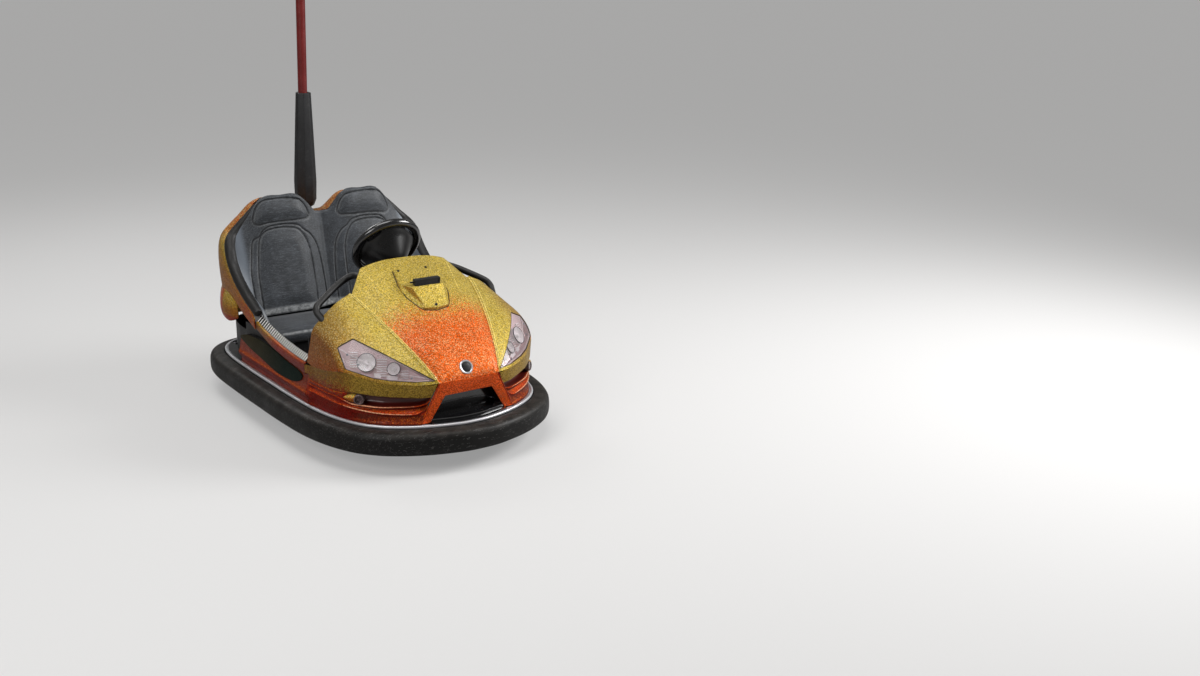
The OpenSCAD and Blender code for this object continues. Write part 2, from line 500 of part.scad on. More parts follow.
module dash_block(back, front) {
    g = both([for (p = dash_top) [p, [p[0] * 0.985, -250 * ky, 470]]]);
    between([for (c = g) [for (p = c) p + [0, front, 0]]], [for (c = g) [for (p = c) p + [0, back, 0]]]);
}
module dash_panel() color([0.06, 0.06, 0.06]) difference() {
    dash_block(0, 6);
    column_frame() translate([0, 0, -400]) cylinder(r = 17 + seat, h = 400);
}
ROLL = [[300, 604, 934, 6], [330, 610, 900, 9], [360, 612, 866, 14], [396, 612, 826, 19],
    [428, 612, 791, 22], [456, 604, 762, 24], [476, 580, 735, 25], [487, 548, 702, 25],
    [491, 515, 650, 25], [492, 455, 592, 25], [492, 387, 548, 25], [492, 300, 506, 24],
    [492, 236, 478, 20]];
roll_path = [for (p = ROLL) place(p)];
module edge_rolls() color([0.05, 0.05, 0.05]) for (s = [0, 1]) mirror([s, 0, 0]) bar(roll_path);
HANDLE = [[214, -254, 708, 13], [218, -228, 710, 13], [232, -208, 706, 13], [256, -200, 694, 13],
    [300, -212, 676, 13], [350, -232, 651, 13], [400, -254, 624, 13], [424, -266, 608, 13],
    [434, -282, 590, 13], [430, -300, 574, 13], [420, -330, 552, 13]];
shell_skin = inset(longer(front_grid), -seat);
shell_core = inset(longer(front_grid), 60);
module grab_handle(s) color([0.05, 0.05, 0.05]) mirror([s < 0 ? 1 : 0, 0, 0]) difference() {
    bar([for (p = HANDLE) place(p)]);
    dash_block(-80, 6 + seat);
    between([for (k = [19:26]) shell_core[k]], [for (k = [19:26]) shell_skin[k]]);
}
module grab_handle_r() grab_handle(-1);
module grab_handle_l() grab_handle(1);
module pedal() color([0.3, 0.3, 0.3]) translate([100 * kx, -232 * ky + seat, pan_z + 24])
    rotate([-28, 0, 0]) cube([90, 10, 130]);

// Steering: the column frame has its z axis up the column, its origin in the rim plane
module column_frame() translate(hub_c) rotate([column_deg - 90, 0, 0]) children();
module steering_column() color([0.3, 0.3, 0.32]) column_frame() translate([0, 0, -330])
    cylinder(r = 17, h = 310);
module steering_wheel() color([0.04, 0.04, 0.04]) column_frame() {
    rotate_extrude($fn = 48) translate([wheel_r - rim_r, 0]) circle(r = rim_r, $fn = 24);
    difference() {
        rotate_extrude($fn = 48) polygon([[17 + fit, -116], [38, -116], [58, -96], [90, -56], [112, -28],
            [wheel_r - 2 * rim_r + 2, -12], [wheel_r - 2 * rim_r + 2, -2], [108, -6], [0, -6], [0, -16],
            [92, -18], [82, -50], [54, -86], [34, -110], [17 + fit, -110]]);
        for (a = [45:90:315]) rotate(a) translate([wheel_r - 2 * rim_r - 9, -40, -40]) cube([20, 80, 60]);
    }
}

// Current pole
module pole_frame() translate([0, pole_y, pole_foot]) rotate([pole_lean, 0, 0]) children();
module pole_base() color([0.15, 0.15, 0.16]) {
    pole_frame() rotate_extrude() polygon([[pole_r + 2 + fit, -260], [pole_r + 8, -260],
        [pole_r + 8, 720], [pole_r + 2 + fit, 720]]);
    difference() {
        translate([-30, pole_y - 50, pan_z + 4]) cube([60, 48, 330]);
        pole_frame() translate([0, 0, -700]) cylinder(r = pole_r + 6, h = 900);
    }
    translate([-60, pole_y - 60, pan_z + seat]) cube([120, 70, 8]);
}
module pole_boot() color([0.05, 0.05, 0.05]) pole_frame() difference() {
    rings = [for (r = [[205, 38, 34], [238, 50, 46], [330, 52, 47], [560, 43, 41], [770, 34, 35]])
        [for (a = [22.5:45:337.5]) [3 + r[1] * cos(a) / cos(22.5), r[2] * sin(a) / cos(22.5), r[0]]]];
    polyhedron(points = flat(rings), faces = concat([[for (a = [0:7]) a], [for (a = [7:-1:0]) 32 + a]],
        [for (k = [0:3]) for (a = [0:7]) let (b = (a + 1) % 8)
            each [[k * 8 + a, (k + 1) * 8 + b, k * 8 + b], [k * 8 + a, (k + 1) * 8 + a, (k + 1) * 8 + b]]]));
    translate([0, 0, 190]) cylinder(r = pole_r + 8 + seat, h = 600);
}
pole_len = (car_h - pole_foot - 45) / cos(pole_lean);
module pole_tube() color([0.4, 0.06, 0.06]) pole_frame() {
    translate([0, 0, -200]) cylinder(r = pole_r + 2, h = 940);
    translate([0, 0, 740]) cylinder(r = pole_r, h = pole_len - 740);
}
module contact_shoe() color([0.7, 0.55, 0.25]) {
    pole_frame() translate([0, 0, pole_len + seat]) cylinder(r = 16, h = 24);
    translate([-30, pole_y - tan(pole_lean) * (car_h - pole_foot - 20), car_h - 24]) rotate([90, 0, 90])
        linear_extrude(60) polygon([[-80, -6], [-68, 0], [68, 0], [80, -6], [80, 4], [62, 24], [-62, 24],
            [-80, 4]]);
}

bumper_tube();
bumper_strip();
chassis_frame();
rear_brackets();
rear_wheel_r();
rear_wheel_l();
drive_fork();
drive_motor();
drive_tyre();
drive_hub();
front_shell();
headlamp_lens_r();
headlamp_lens_l();
headlamp_bowls();
front_lip();
fog_liners();
nose_frame();
front_tray();
badge_ring();
coin_box();
coin_slot();
fog_lamps();
side_sills();
side_panels();
side_inserts();
step_plates();
rear_shell();
rear_skirt();
seat_back();
seat_cushion();
seat_base();
cockpit_liner();
footwell_mat();
toe_board();
dash_panel();
edge_rolls();
grab_handle_r();
grab_handle_l();
pedal();
steering_column();
steering_wheel();
pole_base();
pole_boot();
pole_tube();
contact_shoe();
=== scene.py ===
"""Dressed model of a two-seat fairground bumper car.

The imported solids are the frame. Each sub-assembly is a class with its sizes as fields and
methods that build and dress its meshes. Tables are in millimetres and meshes in metres.
"""
import json
import logging
import math
from dataclasses import dataclass
from enum import Enum
from typing import Callable, Iterable, Optional, Sequence

import bmesh
import bpy
import numpy as np
from mathutils import Matrix, Vector
from mathutils.bvhtree import BVHTree

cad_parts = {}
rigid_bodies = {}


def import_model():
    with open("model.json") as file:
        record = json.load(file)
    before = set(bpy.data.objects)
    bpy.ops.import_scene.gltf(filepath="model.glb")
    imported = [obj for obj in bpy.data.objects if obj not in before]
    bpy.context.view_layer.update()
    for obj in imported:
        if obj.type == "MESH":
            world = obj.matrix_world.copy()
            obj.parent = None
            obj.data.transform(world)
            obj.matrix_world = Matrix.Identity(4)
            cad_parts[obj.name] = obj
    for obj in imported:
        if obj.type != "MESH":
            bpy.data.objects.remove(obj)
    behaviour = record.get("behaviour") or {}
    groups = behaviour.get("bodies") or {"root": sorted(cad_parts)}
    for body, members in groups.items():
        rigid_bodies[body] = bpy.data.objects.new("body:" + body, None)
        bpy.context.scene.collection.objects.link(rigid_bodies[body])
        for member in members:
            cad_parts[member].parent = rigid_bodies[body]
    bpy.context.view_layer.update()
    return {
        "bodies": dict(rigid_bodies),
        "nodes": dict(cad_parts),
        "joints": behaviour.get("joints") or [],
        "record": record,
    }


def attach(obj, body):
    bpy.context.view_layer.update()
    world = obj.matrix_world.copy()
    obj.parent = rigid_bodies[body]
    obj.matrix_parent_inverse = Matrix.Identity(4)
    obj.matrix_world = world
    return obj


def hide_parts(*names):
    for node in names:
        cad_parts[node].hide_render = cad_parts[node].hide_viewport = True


LOG = logging.getLogger("bumper_car")
MM = 0.001
WELD = 0.00002
MIRROR = np.array([-1.0, 1.0, 1.0])
Table = list
Row = Sequence[float]
Rows = Sequence[Row]
Points = np.ndarray
Grid = np.ndarray
Piece = bpy.types.Object
Colour = tuple[float, float, float]
Socket = bpy.types.NodeSocket

# Half outline of the bright strip, nose to tail, in millimetres.
STRIP_OUTLINE: Table = [[0, -870], [60, -867], [120, -853], [190, -831], [250, -804], [310, -768],
    [366, -722], [422, -648], [470, -522], [499, -362], [510, -145], [512, 104],
    [512, 330], [504, 590], [468, 744], [390, 828], [268, 861], [130, 869], [0, 870]]
# Control points of each column of the front shell, from the rear edge down to the lip line.
HOOD_COLUMNS: Table = [
    [[0, -240, 768], [0, -390, 705], [0, -780, 480], [0, -812, 356]],
    [[75, -240, 767], [72, -390, 704], [58, -780, 480], [50, -812, 357]],
    [[150, -242, 758], [145, -390, 696], [112, -780, 476], [98, -813, 359]],
    [[208, -246, 743], [200, -400, 675], [150, -770, 470], [128, -814, 360]],
    [[286, -320, 655], [270, -440, 620], [182, -740, 465], [140, -815, 360]],
    [[296, -324, 662], [280, -444, 628], [190, -742, 471], [146, -818, 362]],
    [[306, -324, 655], [290, -444, 620], [200, -738, 463], [154, -813, 359]],
    [[360, -322, 628], [360, -460, 590], [300, -700, 474], [230, -782, 358]],
    [[420, -312, 575], [425, -460, 552], [390, -640, 492], [345, -706, 367]],
    [[462, -300, 524], [464, -400, 523], [463, -560, 500], [459, -588, 402]],
    [[474, -297, 480], [478, -390, 476], [480, -500, 455], [479, -530, 396]],
    [[484, -293, 425], [488, -350, 422], [491, -420, 415], [490, -460, 385]],
    [[493, -288, 378], [495, -310, 377], [496, -330, 376], [497, -350, 374]]]
# Outline of a head lamp.
LAMP_CORNERS: Table = [[451, -510, 490], [388, -528, 522], [157, -808, 371], [235, -774, 371], [320, -719, 377],
    [375, -673, 386], [455, -586, 416]]
# Crease across the lens, in the lamp's own plane, drawn as a white bar: a painted highlight; and two light plates
# under the round lamps: painted reflections.
LAMP_CREASE: Table = [[168, 72], [135, 50], [93, 27], [34, -5], [-19, -28], [-80, -39], [-141, -49], [-196, -55.5]]
LAMP_REFLECTION_PLATES: Table = [[[30, -28], [2, -34], [0, -52], [26, -46]], [[-22, -38], [-70, -44], [-66, -60], [-24, -56]]]
# Lip line, first crest, upper lip edge, second crest, recess depth and place along the strip.
LIP_ROWS: Table = [
    [[152, -814, 356], [181, -797, 284], 300, 256, 6, 7.2],
    [[166, -811, 353], [192, -790, 272], 299, 246, 34, 8],
    [[230, -782, 358], [240, -772, 263], 301, 233, 46, 9],
    [[345, -706, 367], [350, -700, 260], 308, 236, 48, 12],
    [[405, -648, 384], [408, -642, 263], 313, 243, 46, 14],
    [[440, -610, 396], [441, -600, 266], 316, 248, 24, 15],
    [[459, -588, 402], [459, -572, 276], 314, 252, 6, 15.6],
    [[479, -530, 396], [478, -524, 286], 310, 256, 2, 16.4],
    [[490, -460, 385], [489, -456, 286], 310, 258, 2, 17.2],
    [[497, -350, 374], [496, -350, 286], 308, 258, 2, 18.1],
    [[501, -291, 369], [500, -291, 286], 306, 258, 2, 18.64]]
# Coin box corners on one side: four of its top, then five of its foot.
COIN_CORNERS: Table = [[84, -318, 739], [103, -415, 695], [76, -476, 690], [54, -547, 613], [100, -326, 700],
    [113, -404, 666], [112, -464, 632], [95, -510, 604], [60, -545, 590]]
# Foot and front edge of the coin box in the middle.
COIN_MIDDLE: Table = [[0, -558, 585], [0, -552, 612]]
# Faces of one side of the coin box.
COIN_SIDE_FACES: Table = [[0, 1, 5], [0, 5, 4], [1, 2, 3], [1, 3, 7], [1, 7, 6], [1, 6, 5], [3, 8, 7]]
# Faces of the coin box that cross the middle.
COIN_MIDDLE_FACES: Table = [
    [3, 19, 18, 8], [19, 12, 17, 18], [2, 11, 12, 19, 3], [0, 9, 10, 1], [1, 10, 11, 2], [0, 4, 13, 9], [4, 5, 14, 13],
    [5, 6, 15, 14], [6, 7, 16, 15], [7, 8, 18, 17, 16]]
# Control points of each column of the rear shell, from the seats back and down.
TAIL_COLUMNS: Table = [
    [[0, 632, 836], [0, 780, 846], [0, 874, 790], [0, 866, 330]],
    [[60, 632, 842], [64, 780, 850], [70, 872, 790], [80, 864, 330]],
    [[123, 630, 922], [130, 730, 930], [150, 868, 800], [170, 855, 330]],
    [[211, 630, 928], [216, 730, 935], [240, 856, 800], [262, 840, 330]],
    [[303, 632, 920], [318, 712, 922], [345, 855, 800], [330, 820, 332]],
    [[362, 634, 864], [384, 710, 872], [415, 835, 760], [372, 795, 338]],
    [[404, 636, 820], [430, 715, 838], [466, 800, 730], [425, 745, 346]],
    [[440, 636, 784], [478, 715, 800], [500, 735, 700], [460, 670, 354]],
    [[476, 616, 752], [500, 650, 765], [520, 665, 650], [490, 600, 372]],
    [[498, 584, 714], [510, 600, 705], [524, 600, 590], [500, 540, 400]],
    [[509, 532, 650], [515, 540, 640], [518, 520, 560], [508, 470, 488]],
    [[510, 455, 592], [514, 458, 575], [516, 452, 520], [510, 436, 479]],
    [[510, 387, 548], [514, 387, 530], [516, 383, 490], [510, 378, 456]],
    [[508, 300, 505], [512, 300, 490], [512, 300, 450], [508, 300, 427]],
    [[507, 234, 450], [510, 234, 444], [510, 234, 420], [507, 234, 404]]]
# Sill band: place along the car, outer edge of the step plate, foot, inner edge of the plate.
BAND_ROWS: Table = [[-285, 380, 326, 476], [-200, 382, 333, 476], [-110, 388, 340, 476], [-20, 396, 348, 476],
    [70, 409, 360, 476], [150, 424, 379, 477], [228, 445, 401, 484]]
# Place along the car and top edge of the side panel.
PANEL_ROWS: Table = [[-285, 328.3], [-252, 331], [-225, 313], [-190, 319], [-91, 326], [17, 336], [107, 344],
    [222, 349], [342, 344], [400, 337], [468, 318]]
# Outline of a side insert, down its slope and along the car.
INSERT_OUTLINE: Table = [[20, 361], [4, 300], [-3, 242], [-8, 122], [-3, 7], [5, -83], [15, -191], [22, -290],
    [32, -335], [44, -342], [58, -330], [74, -290], [84, -235], [89, -124], [85, -35], [75, 55], [65, 148],
    [55, 243], [41, 327], [31, 366]]
# Control points of the rounded pods low on the rear corners.
POD_COLUMNS: Table = [
    [[504, 472, 500], [509, 446, 476], [509, 440, 420], [503, 464, 400]],
    [[506, 505, 518], [532, 490, 492], [541, 486, 408], [508, 505, 383]],
    [[506, 572, 536], [540, 572, 502], [553, 572, 403], [512, 562, 370]],
    [[494, 638, 542], [514, 656, 502], [531, 661, 398], [494, 632, 366]],
    [[456, 722, 542], [470, 748, 502], [481, 755, 398], [450, 715, 364]],
    [[366, 790, 542], [373, 824, 502], [379, 832, 398], [360, 785, 364]],
    [[244, 826, 542], [248, 852, 502], [250, 860, 398], [244, 820, 364]],
    [[180, 836, 532], [180, 842, 500], [180, 844, 420], [180, 834, 390]]]
# Control points of each column of the seat back, from its foot up.
SEAT_COLUMNS: Table = [
    [[0, 512, 388], [0, 540, 520], [0, 580, 700], [0, 606, 846]],
    [[37, 500, 388], [37, 528, 520], [37, 572, 700], [37, 600, 850]],
    [[105, 478, 388], [108, 505, 520], [118, 560, 740], [123, 596, 938]],
    [[210, 474, 388], [210, 500, 520], [211, 556, 740], [211, 596, 944]],
    [[300, 474, 388], [302, 500, 520], [303, 560, 740], [299, 600, 937]],
    [[368, 470, 388], [378, 490, 500], [384, 560, 680], [374, 608, 850]],
    [[424, 440, 390], [440, 480, 500], [446, 560, 650], [434, 608, 784]],
    [[450, 380, 394], [462, 430, 480], [472, 540, 600], [474, 582, 736]],
    [[460, 300, 400], [466, 350, 470], [475, 450, 560], [486, 520, 655]],
    [[463, 236, 404], [467, 262, 440], [474, 320, 500], [484, 390, 552]],
    [[465, 184, 407], [467, 194, 424], [470, 214, 454], [473, 232, 480]]]
# Path and radius of the edge rolls.
ROLL_PATH: Table = [[300, 604, 934, 6], [330, 610, 900, 9], [360, 612, 866, 14], [396, 612, 826, 19],
    [428, 612, 791, 22], [456, 604, 762, 24], [476, 580, 735, 25], [487, 548, 702, 25],
    [491, 515, 650, 25], [492, 455, 592, 25], [492, 387, 548, 25], [492, 300, 506, 24],
    [492, 236, 478, 20]]
# Path and radius of the grab handles.
HANDLE_PATH: Table = [[214, -254, 708, 13], [218, -228, 710, 13], [232, -208, 706, 13], [256, -200, 694, 13],
    [300, -212, 676, 13], [350, -232, 651, 13], [400, -254, 624, 13], [424, -266, 608, 13],
    [434, -282, 590, 13], [430, -300, 574, 13], [420, -330, 552, 13]]

STRIP_Z = 188.0
STRIP_WIDTH = 12.0
WALL = 5.0


class Body(Enum):
    """Bodies of the frame that dressed pieces ride on."""

    CHASSIS = "chassis"
    STEERING = "steering"
    POLE = "pole"


# ---------------- curves and grids

def unit(v: Points) -> Points:
    """Returns the vectors of an array at length 1."""
    return v / np.maximum(np.linalg.norm(v, axis=-1, keepdims=True), 1e-9)


def ramp(x: Points, low: float, high: float) -> Points:
    """Rises smoothly from 0 at low to 1 at high."""
    t = np.clip((np.asarray(x, float) - low) / (high - low), 0.0, 1.0)
    return t * t * (3.0 - 2.0 * t)


def spline(points: Table | Points, steps: int, closed: bool = False, sharp: Iterable[int] = ()) -> Points:
    """Runs a smooth curve through rows of points.

    Args:
        points: Array whose first axis is followed.
        steps: Pieces that each gap is cut into.
        closed: Whether the last row joins the first.
        sharp: Rows where the curve keeps a corner.

    Returns:
        The denser array.
    """
    p = np.asarray(points, float)
    n = len(p)
    corners = set(sharp)
    out = []
    for k in range(n if closed else n - 1):
        a, b = p[k], p[(k + 1) % n]
        before = p[(k - 1) % n] if closed or k > 0 else 2 * a - b
        after = p[(k + 2) % n] if closed or k + 2 < n else 2 * b - a
        if k in corners:
            before = 2 * a - b
        if k + 1 in corners:
            after = 2 * b - a
        for i in range(steps):
            t = i / steps
            out.append(0.5 * (2 * a + (b - before) * t
                              + (2 * before - 5 * a + 4 * b - after) * t * t
                              + (3 * a - before - 3 * b + after) * t * t * t))
    if not closed:
        out.append(p[-1])
    return np.array(out)


def round_off(points: Points, rounds: int = 1, closed: bool = True) -> Points:
    """Cuts the corners of a polygon, each round twice as fine.

    Args:
        points: Corners in order.
        rounds: How often they are cut.
        closed: Whether the last joins the first.

    Returns:
        The finer points.
    """
    p = np.asarray(points, float)
    for _ in range(rounds):
        q = np.roll(p, -1, axis=0)
        r = np.stack([0.75 * p + 0.25 * q, 0.25 * p + 0.75 * q], axis=1)
        if closed:
            p = r.reshape(-1, *p.shape[1:])
        else:
            p = np.concatenate([p[:1], r[:-1].reshape(-1, *p.shape[1:])[1:-1], p[-1:]])
    return p


def bezier_grid(table: Table, steps: int) -> Grid:
    """Turns each row of four control points into a column of points.

    Args:
        table: Rows of four control points.
        steps: Pieces of each column.

    Returns:
        Columns by rows of points.
    """
    p = np.array(table, float)
    t = np.linspace(0.0, 1.0, steps + 1)[None, :, None]
    s = 1.0 - t
    return (s ** 3 * p[:, 0:1] + 3 * s * s * t * p[:, 1:2] + 3 * s * t * t * p[:, 2:3] + t ** 3 * p[:, 3:4])


def soften(grid: Grid, rows: Iterable[int], amount: float = 0.5) -> Grid:
    """Rounds the given columns of a grid a little, by their neighbours.

    Args:
        grid: Points.
        rows: Columns to round.
        amount: 0 for none, 1 for the neighbours' middle.

    Returns:
        The changed copy.
    """
    g = grid.copy()
    for r in rows:
        if 0 < r < len(g) - 1:
            g[r] = (1 - amount) * grid[r] + amount * 0.5 * (grid[r - 1] + grid[r + 1])
    return g


def both_sides(grid: Grid) -> Grid:
    """Returns the whole-width grid from the columns of one half."""
    return np.concatenate([grid[:0:-1] * MIRROR, grid])


def normals(grid: Grid) -> Grid:
    """Returns the unit normals of a grid of points."""
    return unit(np.cross(np.gradient(grid, axis=0), np.gradient(grid, axis=1)))


def inset(grid: Grid, depth: float) -> Grid:
    """Moves a grid inwards."""
    return grid + depth * normals(grid)


def strip_ring(steps: int = 8, offset: float = 0.0) -> Points:
    """Returns the closed outline of the bright strip.

    Args:
        steps: Pieces between two points of the table.
        offset: Distance that the outline is moved outwards.

    Returns:
        Array of [x, y] points in millimetres.
    """
    half = np.array(STRIP_OUTLINE, float)
    loop = np.concatenate([half, half[-2:0:-1] * MIRROR[:2]])
    ring = spline(loop, steps, closed=True)
    if offset:
        d = unit(np.roll(ring, -1, axis=0) - np.roll(ring, 1, axis=0))
        ring = ring + offset * np.stack([d[:, 1], -d[:, 0]], axis=1)
    return ring


# ---------------- meshes

def placed(points: Points, frame: Matrix) -> Points:
    """Takes points from a frame to the car's frame."""
    m = np.array(frame)
    return points @ m[:3, :3].T + m[:3, 3]


def add_object(name: str, data: bpy.types.ID) -> Piece:
    """Makes an object of a data block and links it to the scene.

    Args:
        name: Name of the object.
        data: Its mesh, lamp or camera.

    Returns:
        The object.
    """
    thing = bpy.data.objects.new(name, data)
    bpy.context.scene.collection.objects.link(thing)
    return thing


def mesh_object(name: str, points: Sequence, edges: Sequence, faces: Sequence) -> Piece:
    """Makes an object of a mesh whose points are in millimetres.

    Args:
        name: Name of object and mesh.
        points: Places.
        edges: Pairs of points.
        faces: Rings of points.

    Returns:
        The object.
    """
    mesh = bpy.data.meshes.new(name)
    mesh.from_pydata((np.asarray(points, float) * MM).tolist(), edges, faces)
    return add_object(name, mesh)


def circles(line: Points, along: Points, side: Points, radius: Points | float, count: int) -> Grid:
    """Returns rings of points round a line, square to its direction.

    Args:
        line: Middles.
        along: Unit directions.
        side: Unit vectors across them.
        radius: One or one a ring.
        count: Points in a ring.

    Returns:
        Rings by points.
    """
    up = np.cross(side, along)
    a = np.arange(count) * 2 * math.pi / count
    reach = np.asarray(radius, float).reshape(-1, 1, 1)
    return line[:, None] + reach * (side[:, None] * np.cos(a)[None, :, None] + up[:, None] * np.sin(a)[None, :, None])


class Shape:
    """Gathers points and faces in millimetres and makes an object of them; its methods can be chained."""

    def __init__(self) -> None:
        """Starts with an empty mesh."""
        self.points: list[Points] = []
        self.faces: list[tuple[int, ...]] = []
        self.count = 0

    def add(self, points: Points, faces: Iterable[Sequence[int]]) -> "Shape":
        """Adds points, and faces that count from the first of them.

        Args:
            points: Places.
            faces: Rings of point numbers.

        Returns:
            The same shape.
        """
        p = np.asarray(points, float).reshape(-1, 3)
        self.points.append(p)
        self.faces += [tuple(self.count + i for i in f) for f in faces]
        self.count += len(p)
        return self

    def grid(self, g: Grid, wrap_u: bool = False, wrap_v: bool = False, turned: bool = False) -> "Shape":
        """Adds a grid of quads.

        Args:
            g: Points, columns by rows.
            wrap_u: Whether the last column joins the first.
            wrap_v: Whether the last row joins the first.
            turned: Whether the faces look the other way.

        Returns:
            The same shape.
        """
        c, r = g.shape[:2]
        faces = []
        for i in range(c if wrap_u else c - 1):
            for j in range(r if wrap_v else r - 1):
                i2, j2 = (i + 1) % c, (j + 1) % r
                f = (i * r + j, i * r + j2, i2 * r + j2, i2 * r + j)
                faces.append(f[::-1] if turned else f)
        return self.add(g, faces)

    def shell(self, outer: Grid, inner: Grid) -> "Shape":
        """Adds a closed wall between two grids of one size.

        Args:
            outer: Grid of the outer face.
            inner: Grid of the inner face.

        Returns:
            The same shape.
        """
        c, r = outer.shape[:2]
        start, n = self.count, c * r
        self.grid(outer, turned=True).grid(inner)
        edge = (list(range(r)) + [i * r + r - 1 for i in range(1, c)]
                + [(c - 1) * r + j for j in range(r - 2, -1, -1)] + [i * r for i in range(c - 2, 0, -1)])
        self.faces += [(start + a, start + b, start + n + b, start + n + a)
                       for a, b in zip(edge, edge[1:] + edge[:1])]
        return self

    def loft(self, rings: Grid) -> "Shape":
        """Adds a closed tube through rings, with flat ends.

        Args:
            rings: Rings by points.

        Returns:
            The same shape.
        """
        c, r = rings.shape[:2]
        start = self.count
        self.grid(rings, wrap_v=True)
        self.faces.append(tuple(start + j for j in range(r)))
        self.faces.append(tuple(start + (c - 1) * r + j for j in range(r - 1, -1, -1)))
        return self

    def tube(self, path: Points, radius: Points | float, sides: int = 16) -> "Shape":
        """Adds a round bar along a path, its ends closed with a small rounding.

        Args:
            path: Points of the middle line.
            radius: One radius, or one for each point.
            sides: Points round the bar.

        Returns:
            The same shape.
        """
        p = np.asarray(path, float)
        rad = np.broadcast_to(np.asarray(radius, float), (len(p),)).copy()
        d0, d1 = unit(p[0] - p[1]), unit(p[-1] - p[-2])
        p = np.concatenate([[p[0] + d0 * rad[0] * 0.3], p, [p[-1] + d1 * rad[-1] * 0.3]])
        rad = np.concatenate([[rad[0] * 0.8], rad, [rad[-1] * 0.8]])
        d = unit(np.gradient(p, axis=0))
        side = np.empty_like(p)
        side[0] = unit(np.cross(d[0], [0.31, 0.13, 1.0]))
        for k in range(1, len(p)):
            side[k] = unit(side[k - 1] - d[k] * np.dot(side[k - 1], d[k]))
        return self.loft(circles(p, d, side, rad, sides))

    def closed_tube(self, path: Points, radius: float, sides: int = 8) -> "Shape":
        """Adds a round bar along a path that joins itself.

        Args:
            path: Middle line.
            radius: Radius of the bar.
            sides: Points round it.

        Returns:
            The same shape.
        """
        p = np.asarray(path, float)
        d = unit(np.roll(p, -1, axis=0) - np.roll(p, 1, axis=0))
        side = unit(np.cross(d, np.broadcast_to([0.05, 0.07, 1.0], p.shape)))
        return self.grid(circles(p, d, side, radius, sides), wrap_u=True, wrap_v=True)

    def lathe(self, profile: Rows, frame: Matrix, steps: int = 48) -> "Shape":
        """Turns a profile of [radius, height] points about the z axis of a frame.

        Args:
            profile: Points from one end to the other; a closed ring where no radius is 0.
            frame: Place and direction of the axis, in millimetres.
            steps: Pieces round the axis.

        Returns:
            The same shape.
        """
        prof = np.array(profile, float)
        a = np.arange(steps) * 2 * math.pi / steps
        g = np.stack([np.outer(np.cos(a), prof[:, 0]), np.outer(np.sin(a), prof[:, 0]),
                      np.broadcast_to(prof[:, 1], (steps, len(prof)))], axis=-1)
        return self.grid(placed(g, frame), wrap_u=True, wrap_v=bool(prof[:, 0].min() > 1e-6))

    def prism(self, outline: Rows, low: float, high: float, frame: Matrix) -> "Shape":
        """Adds an upright block with a flat outline, placed by a frame.

        Args:
            outline: Flat corners.
            low: Height of its foot.
            high: Height of its top.
            frame: Place and turn.

        Returns:
            The same shape.
        """
        o = np.asarray(outline, float)
        n = len(o)
        p = np.concatenate([np.column_stack([o, np.full(n, low)]), np.column_stack([o, np.full(n, high)])])
        faces = [tuple(range(n))[::-1], tuple(range(n, 2 * n))]
        faces += [(k, (k + 1) % n, n + (k + 1) % n, n + k) for k in range(n)]
        return self.add(placed(p, frame), faces)

    def box(self, low: Row, high: Row, frame: Matrix = Matrix.Identity(4)) -> "Shape":
        """Adds a rectangular block between two corners, turned by a frame if there is one."""
        (a, b, c), (d, e, f) = low, high
        return self.prism([[a, b], [d, b], [d, e], [a, e]], c, f, frame)

    def mirror(self) -> "Shape":
        """Adds the other side's copy of all that is there."""
        return self.add(np.concatenate(self.points) * MIRROR, [f[::-1] for f in self.faces])

    def raw(self, name: str) -> Piece:
        """Makes a plain object of the points and faces, in metres.

        Args:
            name: Name of the object.

        Returns:
            The object, its doubled points joined.
        """
        piece = mesh_object(name, np.concatenate(self.points), [], self.faces)
        bm = bmesh.new()
        bm.from_mesh(piece.data)
        bmesh.ops.remove_doubles(bm, verts=bm.verts, dist=WELD)
        bmesh.ops.dissolve_degenerate(bm, dist=WELD / 2, edges=bm.edges)
        bmesh.ops.recalc_face_normals(bm, faces=bm.faces)
        bm.to_mesh(piece.data)
        bm.free()
        return piece


def bevel(piece: Piece, width: float, segments: int = 2, angle: float = 28.0) -> Piece:
    """Rounds the sharp edges of a piece.

    Args:
        piece: Object whose mesh is changed.
        width: Width of the rounding in millimetres.
        segments: Faces across it.
        angle: Edges that turn more than this are rounded, in degrees.

    Returns:
        The same object.
    """
    bm = bmesh.new()
    bm.from_mesh(piece.data)
    limit = math.radians(angle)
    edges = [e for e in bm.edges if len(e.link_faces) == 2 and e.calc_face_angle(0.0) > limit]
    bmesh.ops.bevel(bm, geom=edges, offset=width * MM, segments=segments, profile=0.6, affect="EDGES",
                    clamp_overlap=True)
    bm.to_mesh(piece.data)
    bm.free()
    return piece


def cut(piece: Piece, tool: Piece, kind: str = "DIFFERENCE") -> Piece:
    """Cuts a piece by a tool object, which is then removed.

    Args:
        piece: Object whose mesh is changed.
        tool: Closed object.
        kind: DIFFERENCE or INTERSECT.

    Returns:
        The same object.
    """
    mod = piece.modifiers.new("cut", "BOOLEAN")
    mod.operation = kind
    mod.object = tool
    mod.solver = "EXACT"
    flatten(piece)
    bpy.data.objects.remove(tool)
    return piece


def flatten(piece: Piece) -> Piece:
    """Applies all modifiers of a piece to its mesh.

    Args:
        piece: Object whose mesh is replaced.

    Returns:
        The same object.
    """
    deps = bpy.context.evaluated_depsgraph_get()
    mesh = bpy.data.meshes.new_from_object(piece.evaluated_get(deps), depsgraph=deps)
    piece.modifiers.clear()
    piece.data = mesh
    return piece


